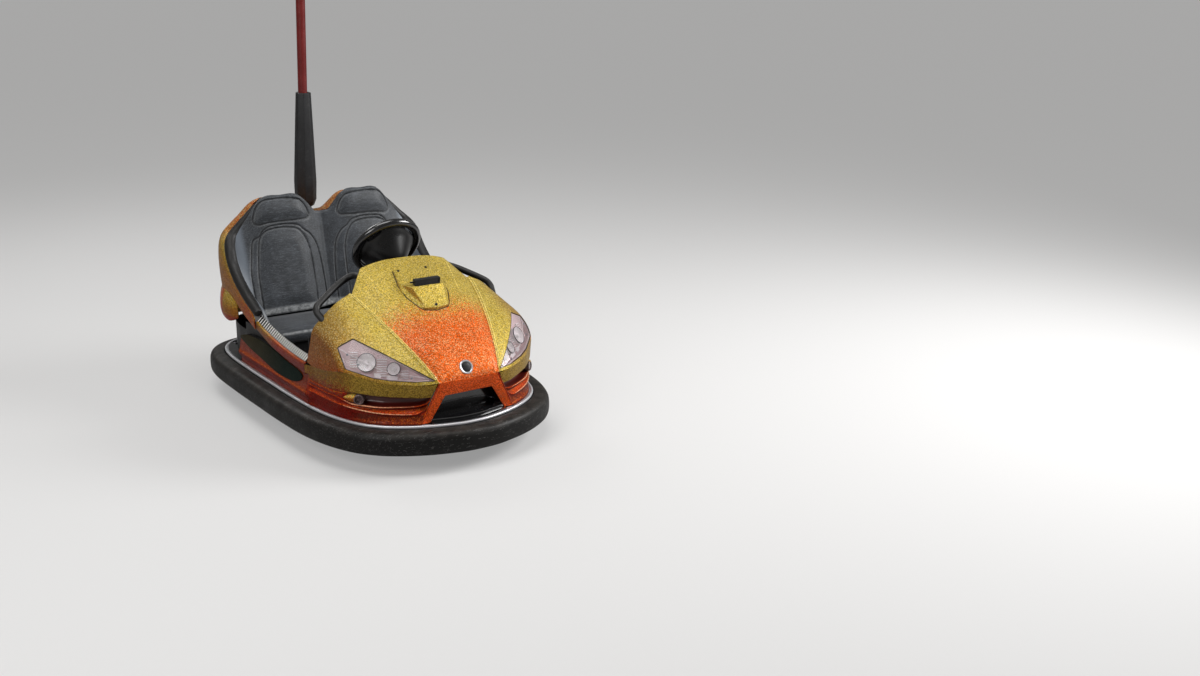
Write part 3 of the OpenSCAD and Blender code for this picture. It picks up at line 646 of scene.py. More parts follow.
def write_weight(piece: Piece, name: str, rule: Callable[..., Points | float]) -> None:
    """Stores a number at each point of a piece, for its finish.

    Args:
        piece: Object whose mesh gets the attribute.
        name: Name that the finish reads.
        rule: Takes the points' x, y and z in millimetres and returns one number for each, or for all.
    """
    mesh = piece.data
    co = np.empty(len(mesh.vertices) * 3)
    mesh.vertices.foreach_get("co", co)
    values = np.empty(len(mesh.vertices), np.float32)
    values[:] = np.clip(rule(*(co.reshape(-1, 3) / MM).T), 0.0, 1.0)
    att = mesh.attributes.get(name) or mesh.attributes.new(name, "FLOAT", "POINT")
    att.data.foreach_set("value", values)


def dress(piece: Piece, coat: "Finish", nodes: Sequence[str] = (), angle: float = 32.0,
          body: Body = Body.CHASSIS) -> Piece:
    """Gives a piece its finish and its place in the frame.

    Args:
        piece: Object in the car's frame.
        coat: Finish of its first material slot.
        nodes: CAD nodes that it replaces.
        angle: Edges that turn more than this stay sharp in the shading, in degrees.
        body: Body that it moves with.

    Returns:
        The same object.
    """
    mesh = piece.data
    if not mesh.materials:
        mesh.materials.append(coat.material())
    mesh.polygons.foreach_set("use_smooth", [True] * len(mesh.polygons))
    mesh.set_sharp_from_angle(angle=math.radians(angle))
    mesh.update()
    if nodes:
        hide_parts(*nodes)
    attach(piece, body.value)
    LOG.info("%s: %d faces, on %s", piece.name, len(mesh.polygons), body.value)
    return piece


# ---------------- finishes

def shade(r: float, g: float, b: float) -> Colour:
    """Turns a screen colour of 0 to 255 into a linear one."""
    return tuple((c / 255 / 12.92) if c <= 10.31 else ((c / 255 + 0.055) / 1.055) ** 2.4 for c in (r, g, b))


class Nodes:
    """Adds nodes to a tree."""

    def __init__(self, tree: bpy.types.NodeTree) -> None:
        """Keeps the tree."""
        self.tree = tree

    def new(self, kind: str, **settings: object) -> bpy.types.Node:
        """Adds a node and sets its properties.

        Args:
            kind: Blender's name of the node.
            settings: Properties.

        Returns:
            The node.
        """
        node = self.tree.nodes.new(kind)
        for key, value in settings.items():
            setattr(node, key, value)
        return node

    def put(self, socket: Socket, value: object) -> None:
        """Links a socket to another, or sets its number or colour.

        Args:
            socket: Input.
            value: Output, number, vector or colour.
        """
        if isinstance(value, Socket):
            self.tree.links.new(value, socket)
        elif isinstance(value, tuple) and len(value) == 3 and socket.type == "RGBA":
            socket.default_value = (*value, 1.0)
        else:
            socket.default_value = value

    def step(self, kind: str, values: dict, **settings: object) -> bpy.types.Node:
        """Adds a node with values or links for its inputs, by number or name.

        Args:
            kind: Blender's name of the node.
            values: What its inputs get.
            settings: Properties.

        Returns:
            The node.
        """
        node = self.new(kind, **settings)
        for key, value in values.items():
            self.put(node.inputs[key], value)
        return node


class Paintbox(Nodes):
    """Builds the nodes of one material."""

    def __init__(self, name: str) -> None:
        """Starts a material with its surface shader and output.

        Args:
            name: Name of the material.
        """
        self.mat = bpy.data.materials.new(name)
        self.mat.use_nodes = True
        super().__init__(self.mat.node_tree)
        self.tree.nodes.clear()
        self.surface = self.new("ShaderNodeBsdfPrincipled")
        self.step("ShaderNodeOutputMaterial", {"Surface": self.surface.outputs["BSDF"]})

    def set(self, **values: object) -> None:
        """Sets inputs of the surface shader; underscores stand for spaces."""
        for key, value in values.items():
            self.put(self.surface.inputs[key.replace("_", " ")], value)

    def place(self, scale: Row = (1, 1, 1), turn: Row = (0, 0, 0)) -> Socket:
        """Returns object coordinates in metres, stretched and turned."""
        coords = self.new("ShaderNodeTexCoord").outputs["Object"]
        return self.step("ShaderNodeMapping", {"Scale": scale, "Rotation": turn, "Vector": coords}).outputs["Vector"]

    def noise(self, scale: float, detail: float = 3.0, rough: float = 0.5, at: Optional[Socket] = None) -> Socket:
        """Returns a noise of 0 to 1."""
        values = {"Scale": scale, "Detail": detail, "Roughness": rough, "Vector": at or self.place()}
        return self.step("ShaderNodeTexNoise", values).outputs["Fac"]

    def cells(self, scale: float, feature: str = "F1") -> bpy.types.Node:
        """Returns a cell texture node."""
        return self.step("ShaderNodeTexVoronoi", {"Scale": scale, "Vector": self.place()}, feature=feature)

    def calc(self, kind: str, a: object, b: object = 0.0) -> Socket:
        """Returns the result of a math step."""
        return self.step("ShaderNodeMath", {0: a, 1: b}, operation=kind).outputs[0]

    def times(self, a: object, b: object) -> Socket:
        """Returns one number times another."""
        return self.calc("MULTIPLY", a, b)

    def vector(self, kind: str, a: object, b: object = (0.0, 0.0, 0.0)) -> Socket:
        """Returns the result of a vector step."""
        return self.step("ShaderNodeVectorMath", {0: a, 1: b}, operation=kind).outputs[0]

    def level(self, value: Socket, low: float, high: float, to_low: float = 0.0, to_high: float = 1.0) -> Socket:
        """Maps one range onto another, held at its ends."""
        return self.step("ShaderNodeMapRange", {0: value, 1: low, 2: high, 3: to_low, 4: to_high}).outputs[0]

    def mix(self, amount: object, a: object, b: object) -> Socket:
        """Mixes two colours."""
        return self.step("ShaderNodeMix", {0: amount, 6: a, 7: b}, data_type="RGBA").outputs[2]

    def over(self, base: object, colour: object, mask: object, amount: object) -> Socket:
        """Lays a colour over another where a mask is, to an amount."""
        return self.mix(self.times(mask, amount), base, colour)

    def scaled(self, colour: object, value: object) -> Socket:
        """Makes a colour lighter or darker by a number."""
        return self.step("ShaderNodeVectorMath", {0: colour, "Scale": value}, operation="SCALE").outputs[0]

    def weight(self, name: str) -> Socket:
        """Reads a number that the mesh carries at each point."""
        return self.new("ShaderNodeAttribute", attribute_name=name).outputs["Fac"]

    def axis(self, letter: str, source: Optional[Socket] = None) -> Socket:
        """Returns one part of a vector, by itself the place in metres."""
        return self.step("ShaderNodeSeparateXYZ", {0: source or self.place()}).outputs[letter]

    def facing(self) -> Socket:
        """Returns the surface's direction."""
        return self.new("ShaderNodeNewGeometry").outputs["Normal"]

    def bump(self, height: Socket, depth_mm: float) -> Socket:
        """Returns a bumped normal."""
        values = {"Strength": 1.0, "Distance": depth_mm * MM, "Height": height}
        return self.step("ShaderNodeBump", values).outputs["Normal"]

    def scratches(self, scale: float, turn: Row, fine: float = 0.02) -> Socket:
        """Returns thin straight marks, 1 on a mark."""
        warp = self.noise(scale, 2.0, 0.6, self.place((1, 14, 14), turn))
        return self.calc("LESS_THAN", self.calc("ABSOLUTE", self.calc("SUBTRACT", warp, 0.62)), fine)


MADE: dict[str, bpy.types.Material] = {}


@dataclass(frozen=True)
class Finish:
    """A finish, by name, and the material slot of the record that it stands in."""

    name: str
    slot: str = ""

    def paint(self, box: Paintbox) -> None:
        """Builds the nodes."""
        raise NotImplementedError

    def material(self) -> bpy.types.Material:
        """Returns the material, made once."""
        if self.name not in MADE:
            box = Paintbox(self.name)
            self.paint(box)
            MADE[self.name] = box.mat
        return MADE[self.name]


@dataclass(frozen=True)
class FlakePaint(Finish):
    """Metal-flake gel coat under clear lacquer, in gold and orange flakes mixed by a weight on the mesh.

    Surfaces that look up are lighter and yellower than the ones that look sideways: the darker, browner colours of the
    sideways ones are painted shade, and the pale flakes on the upward ones are painted glints.
    """

    # The second gold and the second orange are painted shade for surfaces that look sideways; the pale colour is for
    # painted glints.
    gold: Colour = shade(196, 168, 66)
    gold_shaded: Colour = shade(156, 98, 30)
    orange: Colour = shade(216, 88, 6)
    orange_shaded: Colour = shade(168, 38, 14)
    deep: Colour = shade(132, 66, 18)
    pale: Colour = shade(240, 230, 170)
    mostly_gold: bool = True
    flakes: float = 370.0
    lacquer: float = 0.1
    gloss: float = 0.24

    def paint(self, box: Paintbox) -> None:
        """Builds the nodes.

        Args:
            box: Tree of the material.
        """
        flake, fine = (box.cells(scale).outputs["Color"] for scale in (self.flakes, self.flakes * 2.3))
        tone, chance, glint = (box.axis(letter, flake) for letter in "XYZ")
        share = box.weight("fade")
        if not self.mostly_gold:
            share = box.calc("SUBTRACT", 1.0, share)
        spread = box.level(share, 0.0, 1.0, -0.3, 1.3)
        share = box.level(box.calc("SUBTRACT", spread, chance), -0.3, 0.3)
        # Surfaces that look sideways take the darker colours: painted shade.
        up = box.level(box.axis("Z", box.facing()), 0.0, 0.5)
        base = box.mix(share, box.mix(up, self.gold_shaded, self.gold), box.mix(up, self.orange_shaded, self.orange))
        base = box.mix(box.weight("deep"), base, self.deep)
        # Flake brightness: each flake's own tone, with painted glints on the brightest flakes.
        light = box.calc("ADD", box.level(tone, 0.0, 1.0, 0.3, 1.5), box.level(glint, 0.88, 1.0, 0.0, 0.5))
        light = box.times(light, box.level(box.axis("X", fine), 0.0, 1.0, 0.78, 1.22))
        light = box.times(light, box.level(box.noise(2.6, 3.0), 0.3, 0.7, 0.9, 1.08))
        dust = box.level(box.noise(9.0, 5.0, 0.65), 0.48, 0.72)
        base = box.over(box.scaled(base, light), shade(206, 176, 120), dust, 0.03)
        # Pale painted glints on flakes of surfaces that look up.
        base = box.over(base, self.pale, box.level(glint, 0.72, 1.0, 0.0, 0.6), up)
        marks = box.calc("MAXIMUM", box.scratches(18.0, (0.3, 0.5, 0.2), 0.006),
                         box.scratches(23.0, (0.1, 1.2, 1.9), 0.005))
        base = box.over(base, shade(226, 206, 170), marks, 0.2)
        jitter = box.scaled(box.vector("SUBTRACT", fine, (0.5, 0.5, 0.5)), 0.55)
        rough = box.level(box.noise(30.0, 4.0, 0.6), 0.3, 0.75, 0.34, 0.5)
        box.set(Base_Color=base, Metallic=0.3, Roughness=rough, Coat_Weight=self.gloss, Coat_Roughness=self.lacquer,
                Normal=box.vector("NORMALIZE", box.vector("ADD", box.facing(), jitter)), Coat_IOR=1.3,
                Specular_IOR_Level=0.06)


@dataclass(frozen=True)
class Rubber(Finish):
    """Moulded rubber, dusty where it looks up, scuffed on its outer face."""

    colour: Colour = shade(52, 52, 56)
    dust: Colour = shade(132, 126, 120)
    rough: float = 0.62
    dusty: float = 0.75
    scuffs: float = 0.5

    def paint(self, box: Paintbox) -> None:
        """Builds the nodes.

        Args:
            box: Tree of the material.
        """
        cloud = box.noise(7.0, 5.0, 0.62)
        base = box.scaled(self.colour, box.level(cloud, 0.3, 0.75, 0.75, 1.25))
        up = box.level(box.axis("Z", box.facing()), 0.15, 0.9)
        patch = box.level(box.noise(16.0, 6.0, 0.7), 0.36, 0.66)
        base = box.over(base, self.dust, box.times(up, patch), self.dusty)
        rub = box.times(box.level(box.noise(11.0, 6.0, 0.7, box.place((1, 1, 5))), 0.56, 0.7), self.scuffs)
        grit = box.level(box.noise(90.0, 4.0, 0.7, box.place((1, 1, 3))), 0.4, 0.7)
        base = box.over(base, shade(112, 110, 110), rub, grit)
        base = box.over(base, shade(150, 148, 146), box.scratches(9.0, (0.0, 0.1, 0.35), 0.008), 0.35)
        rough = box.level(cloud, 0.3, 0.75, self.rough - 0.1, self.rough + 0.12)
        height = box.calc("ADD", box.noise(420.0, 3.0, 0.6), box.times(box.noise(60.0, 4.0, 0.6), 1.6))
        box.set(Base_Color=base, Roughness=rough, Normal=box.bump(height, 0.35), Specular_IOR_Level=0.25)


@dataclass(frozen=True)
class Plastic(Finish):
    """Moulded plastic or lacquered black parts, grained or glossy."""

    colour: Colour = shade(26, 26, 28)
    worn: Colour = shade(84, 82, 82)
    rough: float = 0.5
    grain: float = 0.12
    coat: float = 0.0
    wear: float = 0.25
    scale: float = 700.0

    def paint(self, box: Paintbox) -> None:
        """Builds the nodes.

        Args:
            box: Tree of the material.
        """
        cloud = box.noise(12.0, 5.0, 0.6)
        base = box.scaled(self.colour, box.level(cloud, 0.3, 0.75, 0.78, 1.22))
        base = box.over(base, self.worn, box.level(box.noise(34.0, 6.0, 0.72), 0.55, 0.74), self.wear)
        marks = box.calc("MAXIMUM", box.scratches(26.0, (0.2, 0.4, 1.1), 0.007),
                         box.scratches(31.0, (1.2, 0.2, 0.3), 0.006))
        base = box.over(base, self.worn, marks, self.wear)
        cell = box.cells(self.scale, "SMOOTH_F1").outputs["Distance"]
        rough = box.level(cloud, 0.3, 0.75, max(self.rough - 0.06, 0.03), self.rough + 0.1)
        box.set(Base_Color=base, Roughness=rough, Normal=box.bump(cell, self.grain), Coat_Weight=self.coat,
                Coat_Roughness=0.05)


@dataclass(frozen=True)
class SeatSkin(Finish):
    """Grained seat covering with polished high spots and a worn light edge, painted shade in its sewn channels, a
    painted highlight beside them and lighter painted wings.
    """

    colour: Colour = shade(50, 53, 57)
    shine: Colour = shade(78, 82, 88)
    edge: Colour = shade(176, 178, 178)

    def paint(self, box: Paintbox) -> None:
        """Builds the nodes.

        Args:
            box: Tree of the material.
        """
        hide = box.cells(360.0, "SMOOTH_F1").outputs["Distance"]
        cloud = box.noise(8.0, 5.0, 0.62)
        base = box.scaled(self.colour, box.level(cloud, 0.3, 0.75, 0.8, 1.2))
        base = box.scaled(base, box.level(hide, 0.05, 0.5, 1.12, 0.82))
        base = box.over(base, self.shine, box.level(box.noise(7.0, 6.0, 0.7), 0.45, 0.7), 0.5)
        base = box.scaled(base, box.level(box.noise(19.0, 6.0, 0.75), 0.3, 0.7, 0.62, 1.4))
        strokes = box.calc("MAXIMUM", box.scratches(30.0, (0.4, 0.9, 0.2), 0.02),
                           box.scratches(24.0, (1.3, 0.2, 0.7), 0.016))
        base = box.over(base, shade(128, 134, 142), strokes, 0.4)
        # Lighter on the wings: painted light.
        base = box.mix(box.weight("wing_painted_light"), base, shade(112, 120, 130))
        # Near black in the sewn channels: painted shade.
        base = box.mix(box.weight("channel_shade"), base, shade(10, 10, 12))
        # Light edge: real wear, and a painted highlight beside the seams.
        base = box.over(base, self.edge, box.weight("edge"), box.level(box.noise(60.0, 5.0, 0.7), 0.3, 0.6))
        rough = box.level(cloud, 0.3, 0.75, 0.42, 0.6)
        height = box.calc("ADD", hide, box.times(box.noise(900.0, 3.0, 0.6), 0.35))
        box.set(Base_Color=base, Roughness=rough, Normal=box.bump(height, 0.35), Sheen_Weight=0.12,
                Sheen_Roughness=0.5, Specular_IOR_Level=0.45)


@dataclass(frozen=True)
class Metal(Finish):
    """Bare or plated metal, with brushing, stains and scratches."""

    colour: Colour = shade(196, 198, 202)
    stain: Colour = shade(96, 92, 88)
    rough: float = 0.3
    brushed: float = 0.1
    stained: float = 0.4
    metallic: float = 1.0

    def paint(self, box: Paintbox) -> None:
        """Builds the nodes.

        Args:
            box: Tree of the material.
        """
        fine = box.noise(220.0, 3.0, 0.6, box.place((1, 8, 8)))
        base = box.scaled(self.colour, box.level(fine, 0.3, 0.7, 0.9, 1.08))
        patch = box.times(box.level(box.noise(14.0, 6.0, 0.66), 0.5, 0.72), self.stained)
        base = box.mix(patch, base, self.stain)
        base = box.over(base, shade(230, 230, 230), box.scratches(40.0, (0.2, 0.1, 0.9), 0.01), 0.3)
        rough = box.calc("ADD", box.level(fine, 0.3, 0.7, self.rough - 0.04, self.rough + 0.08),
                         box.times(patch, 0.3))
        box.set(Base_Color=base, Metallic=self.metallic, Roughness=rough, Normal=box.bump(fine, self.brushed))


@dataclass(frozen=True)
class InsertPaint(Finish):
    """Glossy insert, brown at the rear and dark green in front, with a fine flake."""

    green: Colour = shade(8, 24, 18)
    brown: Colour = shade(50, 44, 26)

    def paint(self, box: Paintbox) -> None:
        """Builds the nodes.

        Args:
            box: Tree of the material.
        """
        flake = box.axis("X", box.cells(700.0).outputs["Color"])
        base = box.mix(box.level(box.axis("Y"), -0.05, 0.36), self.green, self.brown)
        base = box.scaled(base, box.level(flake, 0.0, 1.0, 0.7, 1.35))
        base = box.scaled(base, box.level(box.noise(6.0, 4.0), 0.3, 0.7, 0.8, 1.15))
        base = box.over(base, shade(120, 130, 118), box.scratches(20.0, (0.1, 0.0, 0.4), 0.008), 0.3)
        rough = box.level(box.noise(26.0, 4.0, 0.6), 0.3, 0.7, 0.26, 0.4)
        box.set(Base_Color=base, Roughness=rough, Coat_Weight=0.04, Coat_Roughness=0.05, Coat_IOR=1.3,
                Specular_IOR_Level=0.03)


@dataclass(frozen=True)
class ClearPlastic(Finish):
    """Clear lens, faintly tinted, with fine haze and moulding ripple."""

    tint: Colour = shade(254, 251, 252)
    rough: float = 0.04
    ripple: float = 0.15

    def paint(self, box: Paintbox) -> None:
        """Builds the nodes.

        Args:
            box: Tree of the material.
        """
        haze = box.level(box.noise(40.0, 5.0, 0.7), 0.45, 0.8, self.rough, self.rough + 0.12)
        tint = box.over(self.tint, shade(232, 220, 226), box.level(box.noise(8.0, 4.0), 0.4, 0.8), 0.3)
        box.set(Base_Color=tint, Roughness=haze, Transmission_Weight=1.0, IOR=1.22,
                Normal=box.bump(box.noise(16.0, 2.0), self.ripple))


@dataclass(frozen=True)
class RibbedPlate(Finish):
    """Light worn ribs on a dark base; the mesh says which is rib."""

    rib: Colour = shade(252, 250, 246)
    base: Colour = shade(9, 9, 9)

    def paint(self, box: Paintbox) -> None:
        """Builds the nodes.

        Args:
            box: Tree of the material.
        """
        up = box.weight("rib")
        light = box.scaled(self.rib, box.level(box.noise(30.0, 4.0), 0.3, 0.7, 0.82, 1.05))
        light = box.over(light, shade(130, 126, 120), box.level(box.noise(120.0, 5.0, 0.7), 0.5, 0.7), 0.2)
        dark = box.scaled(self.base, box.level(box.noise(50.0, 4.0), 0.3, 0.7, 0.7, 1.3))
        box.set(Base_Color=box.mix(up, dark, light), Roughness=box.level(up, 0.0, 1.0, 0.75, 0.38), Metallic=0.0,
                Normal=box.bump(box.noise(300.0, 4.0), 0.15))


# Orange colour of the painted glints in orange flakes.
ORANGE_GLINT = shade(255, 130, 20)
GOLD = FlakePaint("flake_gold_paint", "flake_gold")
ORANGE = FlakePaint("flake_orange_paint", "flake_orange", deep=shade(104, 12, 8), orange_shaded=shade(150, 26, 10),
                    pale=ORANGE_GLINT, mostly_gold=False, gloss=0.4)
# Copy of the orange for the grille frame, its sideways colour kept bright: painted light for the frame's lit face.
FRAME_ORANGE_LIT = FlakePaint("flake_orange_frame_lit", "flake_orange", orange_shaded=shade(216, 82, 26), pale=ORANGE_GLINT,
                          mostly_gold=False)
# Lip paint: its reds darkened as painted shade, and its sideways gold lighter and yellower as painted light.
LIP_PAINT_LIT_AND_SHADED = FlakePaint("flake_lip_paint_lit_and_shaded", "flake_orange", deep=shade(84, 26, 12), gold_shaded=shade(150, 120, 44),
                       orange=shade(196, 60, 20), orange_shaded=shade(128, 18, 8), pale=ORANGE_GLINT, mostly_gold=False)
# Light red of the lines on the lip's crests: painted highlights.
CREST_HIGHLIGHT_RED = FlakePaint("flake_crest_highlight_red", "flake_orange", orange=shade(255, 190, 150), orange_shaded=shade(255, 146, 104),
                      mostly_gold=False)
# Light gold of the beads on the hood's ridges and flute line: painted highlights.
RIDGE_HIGHLIGHT_GOLD = FlakePaint("flake_ridge_highlight_gold", "flake_gold", gold=shade(250, 226, 130), gold_shaded=shade(226, 186, 92),
                       gloss=1.0)
# Dark red of the lip's recess: its red paint darkened as painted shade.
RECESS_SHADED_RED = Plastic("recess_red_paint_shaded", "matt_black", colour=shade(84, 18, 10), worn=shade(120, 50, 30), rough=0.4,
                     coat=0.4)
BUMPER_RUBBER = Rubber("bumper_rubber_skin", "bumper_rubber", colour=shade(17, 16, 15), dust=shade(80, 74, 68),
                       dusty=0.4, scuffs=0.3, rough=0.5)
WHEEL_RUBBER = Rubber("wheel_rubber_skin", colour=shade(38, 38, 38), dusty=0.5, rough=0.7)
MAT_RUBBER = Rubber("mat_rubber_skin", colour=shade(36, 35, 35), dusty=0.9, rough=0.75)
GLOSS_BLACK = Plastic("gloss_black_lacquer", "gloss_black", colour=shade(16, 16, 18), rough=0.22, grain=0.02,
                      coat=1.0, wear=0.12)
MATT_BLACK = Plastic("matt_black_plastic", "matt_black")
ROLL_BLACK = Plastic("edge_roll_skin", "matt_black", colour=shade(19, 17, 16), rough=0.5, grain=0.2, wear=0.18,
                     scale=420.0)
SEAT_SKIN = SeatSkin("seat_skin_hide", "seat_skin")
DISH_BLACK = Plastic("steering_black_moulding", "gloss_black", colour=shade(15, 15, 16), rough=0.3, grain=0.02,
                     wear=0.1)
STRIP_METAL = Metal("strip_aluminium", "strip_metal", colour=shade(226, 226, 230), rough=0.36, metallic=0.5,
                    stained=0.25)
CHROME = Metal("badge_chrome_plate", "badge_chrome", colour=shade(226, 228, 232), rough=0.16, brushed=0.02,
               stained=0.15, metallic=0.6)
LAMP_SILVER = Metal("lamp_reflector_silver", "lamp_silver", colour=shade(226, 206, 206), stain=shade(180, 160, 158),
                    rough=0.4, brushed=0.05, stained=0.25, metallic=0.12)
LAMP_DISC = Metal("lamp_disc_silver", "lamp_silver", colour=shade(250, 248, 248), stain=shade(200, 194, 192),
                  rough=0.35, brushed=0.03, stained=0.15, metallic=0.1)
STEEL = Metal("bare_steel_worn", "bare_steel", colour=shade(150, 152, 156), rough=0.38, stained=0.6)
FRAME_PAINT = Plastic("frame_steel_paint", colour=shade(34, 35, 38), rough=0.55, grain=0.3, wear=0.4, scale=260.0)
MOTOR_PAINT = Plastic("motor_case_paint", colour=shade(70, 74, 80), rough=0.5, grain=0.3, wear=0.4, scale=260.0)
BRASS = Metal("contact_brass_worn", colour=shade(196, 160, 84), stain=shade(86, 64, 34), rough=0.34, stained=0.6)
POLE_RED = Plastic("pole_red_paint", "pole_red", colour=shade(112, 20, 18), worn=shade(170, 120, 110), rough=0.34,
                   grain=0.15, wear=0.16, coat=0.6)
LENS = ClearPlastic("lamp_lens_clear", "clear_lens")
FOG_LENS = ClearPlastic("fog_lens_clear", "fog_clear", tint=shade(214, 204, 204), rough=0.1, ripple=0.4)
FOG_METAL = Metal("fog_lamp_metal", "fog_clear", colour=shade(122, 104, 102), stain=shade(70, 58, 56), rough=0.4,
                  metallic=0.5)
INSERT = InsertPaint("insert_green_paint", "insert_green")
RIBBED = RibbedPlate("step_ribbed_plate", "step_ribbed")


# ---------------- repeated parts

class Repeater(Nodes):
    """Puts one small part on many points with a node tree, and makes a plain mesh of it."""

    inputs: dict[str, str] = {}

    def __init__(self, name: str) -> None:
        """Builds the tree: places and turns of its own kind, then the copies and their finish.

        Args:
            name: Name of the tree.
        """
        super().__init__(bpy.data.node_groups.new(name, "GeometryNodeTree"))
        face = self.tree.interface
        kinds = {"Geometry": "Geometry", "Part": "Object", **self.inputs, "Finish": "Material"}
        self.ids = {label: face.new_socket(label, in_out="INPUT", socket_type="NodeSocket" + kind).identifier
                    for label, kind in kinds.items()}
        face.new_socket("Geometry", in_out="OUTPUT", socket_type="NodeSocketGeometry")
        given = self.new("NodeGroupInput").outputs
        points, turn = self.places(given)
        part = self.step("GeometryNodeObjectInfo", {"Object": given["Part"]}).outputs["Geometry"]
        copies = self.step("GeometryNodeInstanceOnPoints", {"Points": points, "Instance": part, "Rotation": turn})
        real = self.step("GeometryNodeRealizeInstances", {"Geometry": copies.outputs["Instances"]}).outputs["Geometry"]
        coated = self.step("GeometryNodeSetMaterial", {"Geometry": real, "Material": given["Finish"]})
        self.step("NodeGroupOutput", {"Geometry": coated.outputs["Geometry"]})

    def places(self, given: bpy.types.bpy_prop_collection) -> tuple[Socket, Socket]:
        """Adds the nodes for the points and for the turn at each."""
        raise NotImplementedError

    def fill(self, piece: Piece, model: Piece, coat: Finish, **values: float) -> Piece:
        """Makes the copies.

        Args:
            piece: Object that carries the points.
            model: Small part, which is then removed.
            coat: Finish.
            values: Numbers for the tree's own inputs, by name.

        Returns:
            The piece, a plain mesh.
        """
        mod = piece.modifiers.new(self.tree.name, "NODES")
        mod.node_group = self.tree
        for label, value in {"Part": model, "Finish": coat.material(), **values}.items():
            mod[self.ids[label]] = value
        flatten(piece)
        bpy.data.objects.remove(model)
        return piece


class Scatter(Repeater):
    """Puts a small part on spots, facing outwards, each with a random turn about its own axis."""

    inputs = {"Turn": "Float"}
    seed: int = 3
    turn: float = 3.0

    def places(self, given: bpy.types.bpy_prop_collection) -> tuple[Socket, Socket]:
        """Adds the nodes for the points and for the turn at each.

        Args:
            given: Inputs of the tree, by name.

        Returns:
            Points and turn.
        """
        points = self.step("GeometryNodeMeshToPoints", {"Mesh": given["Geometry"]})
        facing = self.step("GeometryNodeInputNamedAttribute", {"Name": "facing"}, data_type="FLOAT_VECTOR")
        align = self.step("FunctionNodeAlignRotationToVector", {"Vector": facing.outputs["Attribute"]}, axis="Z")
        chance = self.step("FunctionNodeRandomValue", {"Seed": self.seed, 3: given["Turn"]}, data_type="FLOAT")
        spin = self.step("FunctionNodeAxisAngleToRotation", {"Axis": (0, 0, 1), "Angle": chance.outputs[1]})
        both = self.step("FunctionNodeRotateRotation", {"Rotation": align.outputs["Rotation"],
                         "Rotate By": spin.outputs["Rotation"]}, rotation_space="LOCAL")
        return points.outputs["Points"], both.outputs["Rotation"]

    def spread(self, name: str, spots: Sequence[tuple[Row, Row]], part: "Shape",
               coat: Finish) -> Piece:
        """Puts the part on each spot and finishes the piece.

        Args:
            name: Name of the finished piece.
            spots: Place and outward direction of each, in millimetres.
            part: Small part, its axis along z.
            coat: Finish.

        Returns:
            The piece, a plain mesh.
        """
        piece = mesh_object(name, [p for p, _ in spots], [], [])
        att = piece.data.attributes.new("facing", "FLOAT_VECTOR", "POINT")
        att.data.foreach_set("vector", [c for _, d in spots for c in d])
        self.fill(piece, part.raw(name + "_model"), coat, Turn=self.turn)
        return dress(piece, coat)


class RibRow(Repeater):
    """Lays a row of ribs along a path."""

    inputs = {"Count": "Int", "Tilt": "Float"}

    def places(self, given: bpy.types.bpy_prop_collection) -> tuple[Socket, Socket]:
        """Adds the nodes for the points and for the turn at each.

        Args:
            given: Inputs of the tree, by name.

        Returns:
            Points and turn.
        """
        curve = self.step("GeometryNodeMeshToCurve", {"Mesh": given["Geometry"]}).outputs["Curve"]
        points = self.step("GeometryNodeResampleCurve", {"Curve": curve, "Count": given["Count"]})
        turn = self.step("ShaderNodeCombineXYZ", {"Y": given["Tilt"]})
        return points.outputs["Curve"], turn.outputs["Vector"]

    def run(self, name: str, path: Rows, size: Row, count: int, tilt: float,
            coat: Finish) -> Piece:
        """Lays the ribs.

        Args:
            name: Name of the finished piece.
            path: Middle line in millimetres.
            size: Width, length along the path and height of a rib.
            count: Number of ribs.
            tilt: Turn about the car's long axis in degrees.
            coat: Finish.

        Returns:
            The piece, a plain mesh.
        """
        piece = mesh_object(name, path, [(k, k + 1) for k in range(len(path) - 1)], [])
        corner = np.array(size) / 2
        model = bevel(Shape().box(-corner, corner).raw(name + "_model"), 0.4, 2)
        return self.fill(piece, model, coat, Count=count, Tilt=math.radians(tilt))


def screw_head(radius: float = 5.0, height: float = 2.6) -> Shape:
    """Returns a domed screw head with a six-sided socket, its foot at z = 0.

    Args:
        radius: Outer radius in millimetres.
        height: Height of the dome.

    Returns:
        The shape.
    """
    top = [(radius, -1.0), (radius, height * 0.35), (radius * 0.86, height * 0.8), (radius * 0.6, height),
           (radius * 0.5, height), (radius * 0.44, height * 0.2), (0.0, height * 0.15)]
    s = Shape().lathe(top, Matrix.Identity(4), 18)
    s.faces.append(tuple(k * len(top) for k in range(17, -1, -1)))
    return s


# ---------------- shared frames and outlines

def turned_frame(origin: Row, degrees: float, about: str = "X") -> Matrix:
    """Returns a frame at a point, turned about one axis of the car."""
    return Matrix.Translation(Vector(origin)) @ Matrix.Rotation(math.radians(degrees), 4, about)


def round_corners(outline: Rows, radius: float, steps: int = 4) -> Points:
    """Rounds the corners of a flat polygon.

    Args:
        outline: Corners in order.
        radius: How far from each corner the rounding starts.
        steps: Pieces in each corner.

    Returns:
        The longer list of points.
    """
    p = np.array(outline, float)
    out = []
    for k in range(len(p)):
        a, b, c = p[k - 1], p[k], p[(k + 1) % len(p)]
        ra = min(radius, 0.45 * np.linalg.norm(a - b))
        rc = min(radius, 0.45 * np.linalg.norm(c - b))
        s, e = b + ra * unit(a - b), b + rc * unit(c - b)
        for i in range(steps + 1):
            t = i / steps
            out.append((1 - t) ** 2 * s + 2 * t * (1 - t) * b + t * t * e)
    return np.array(out)


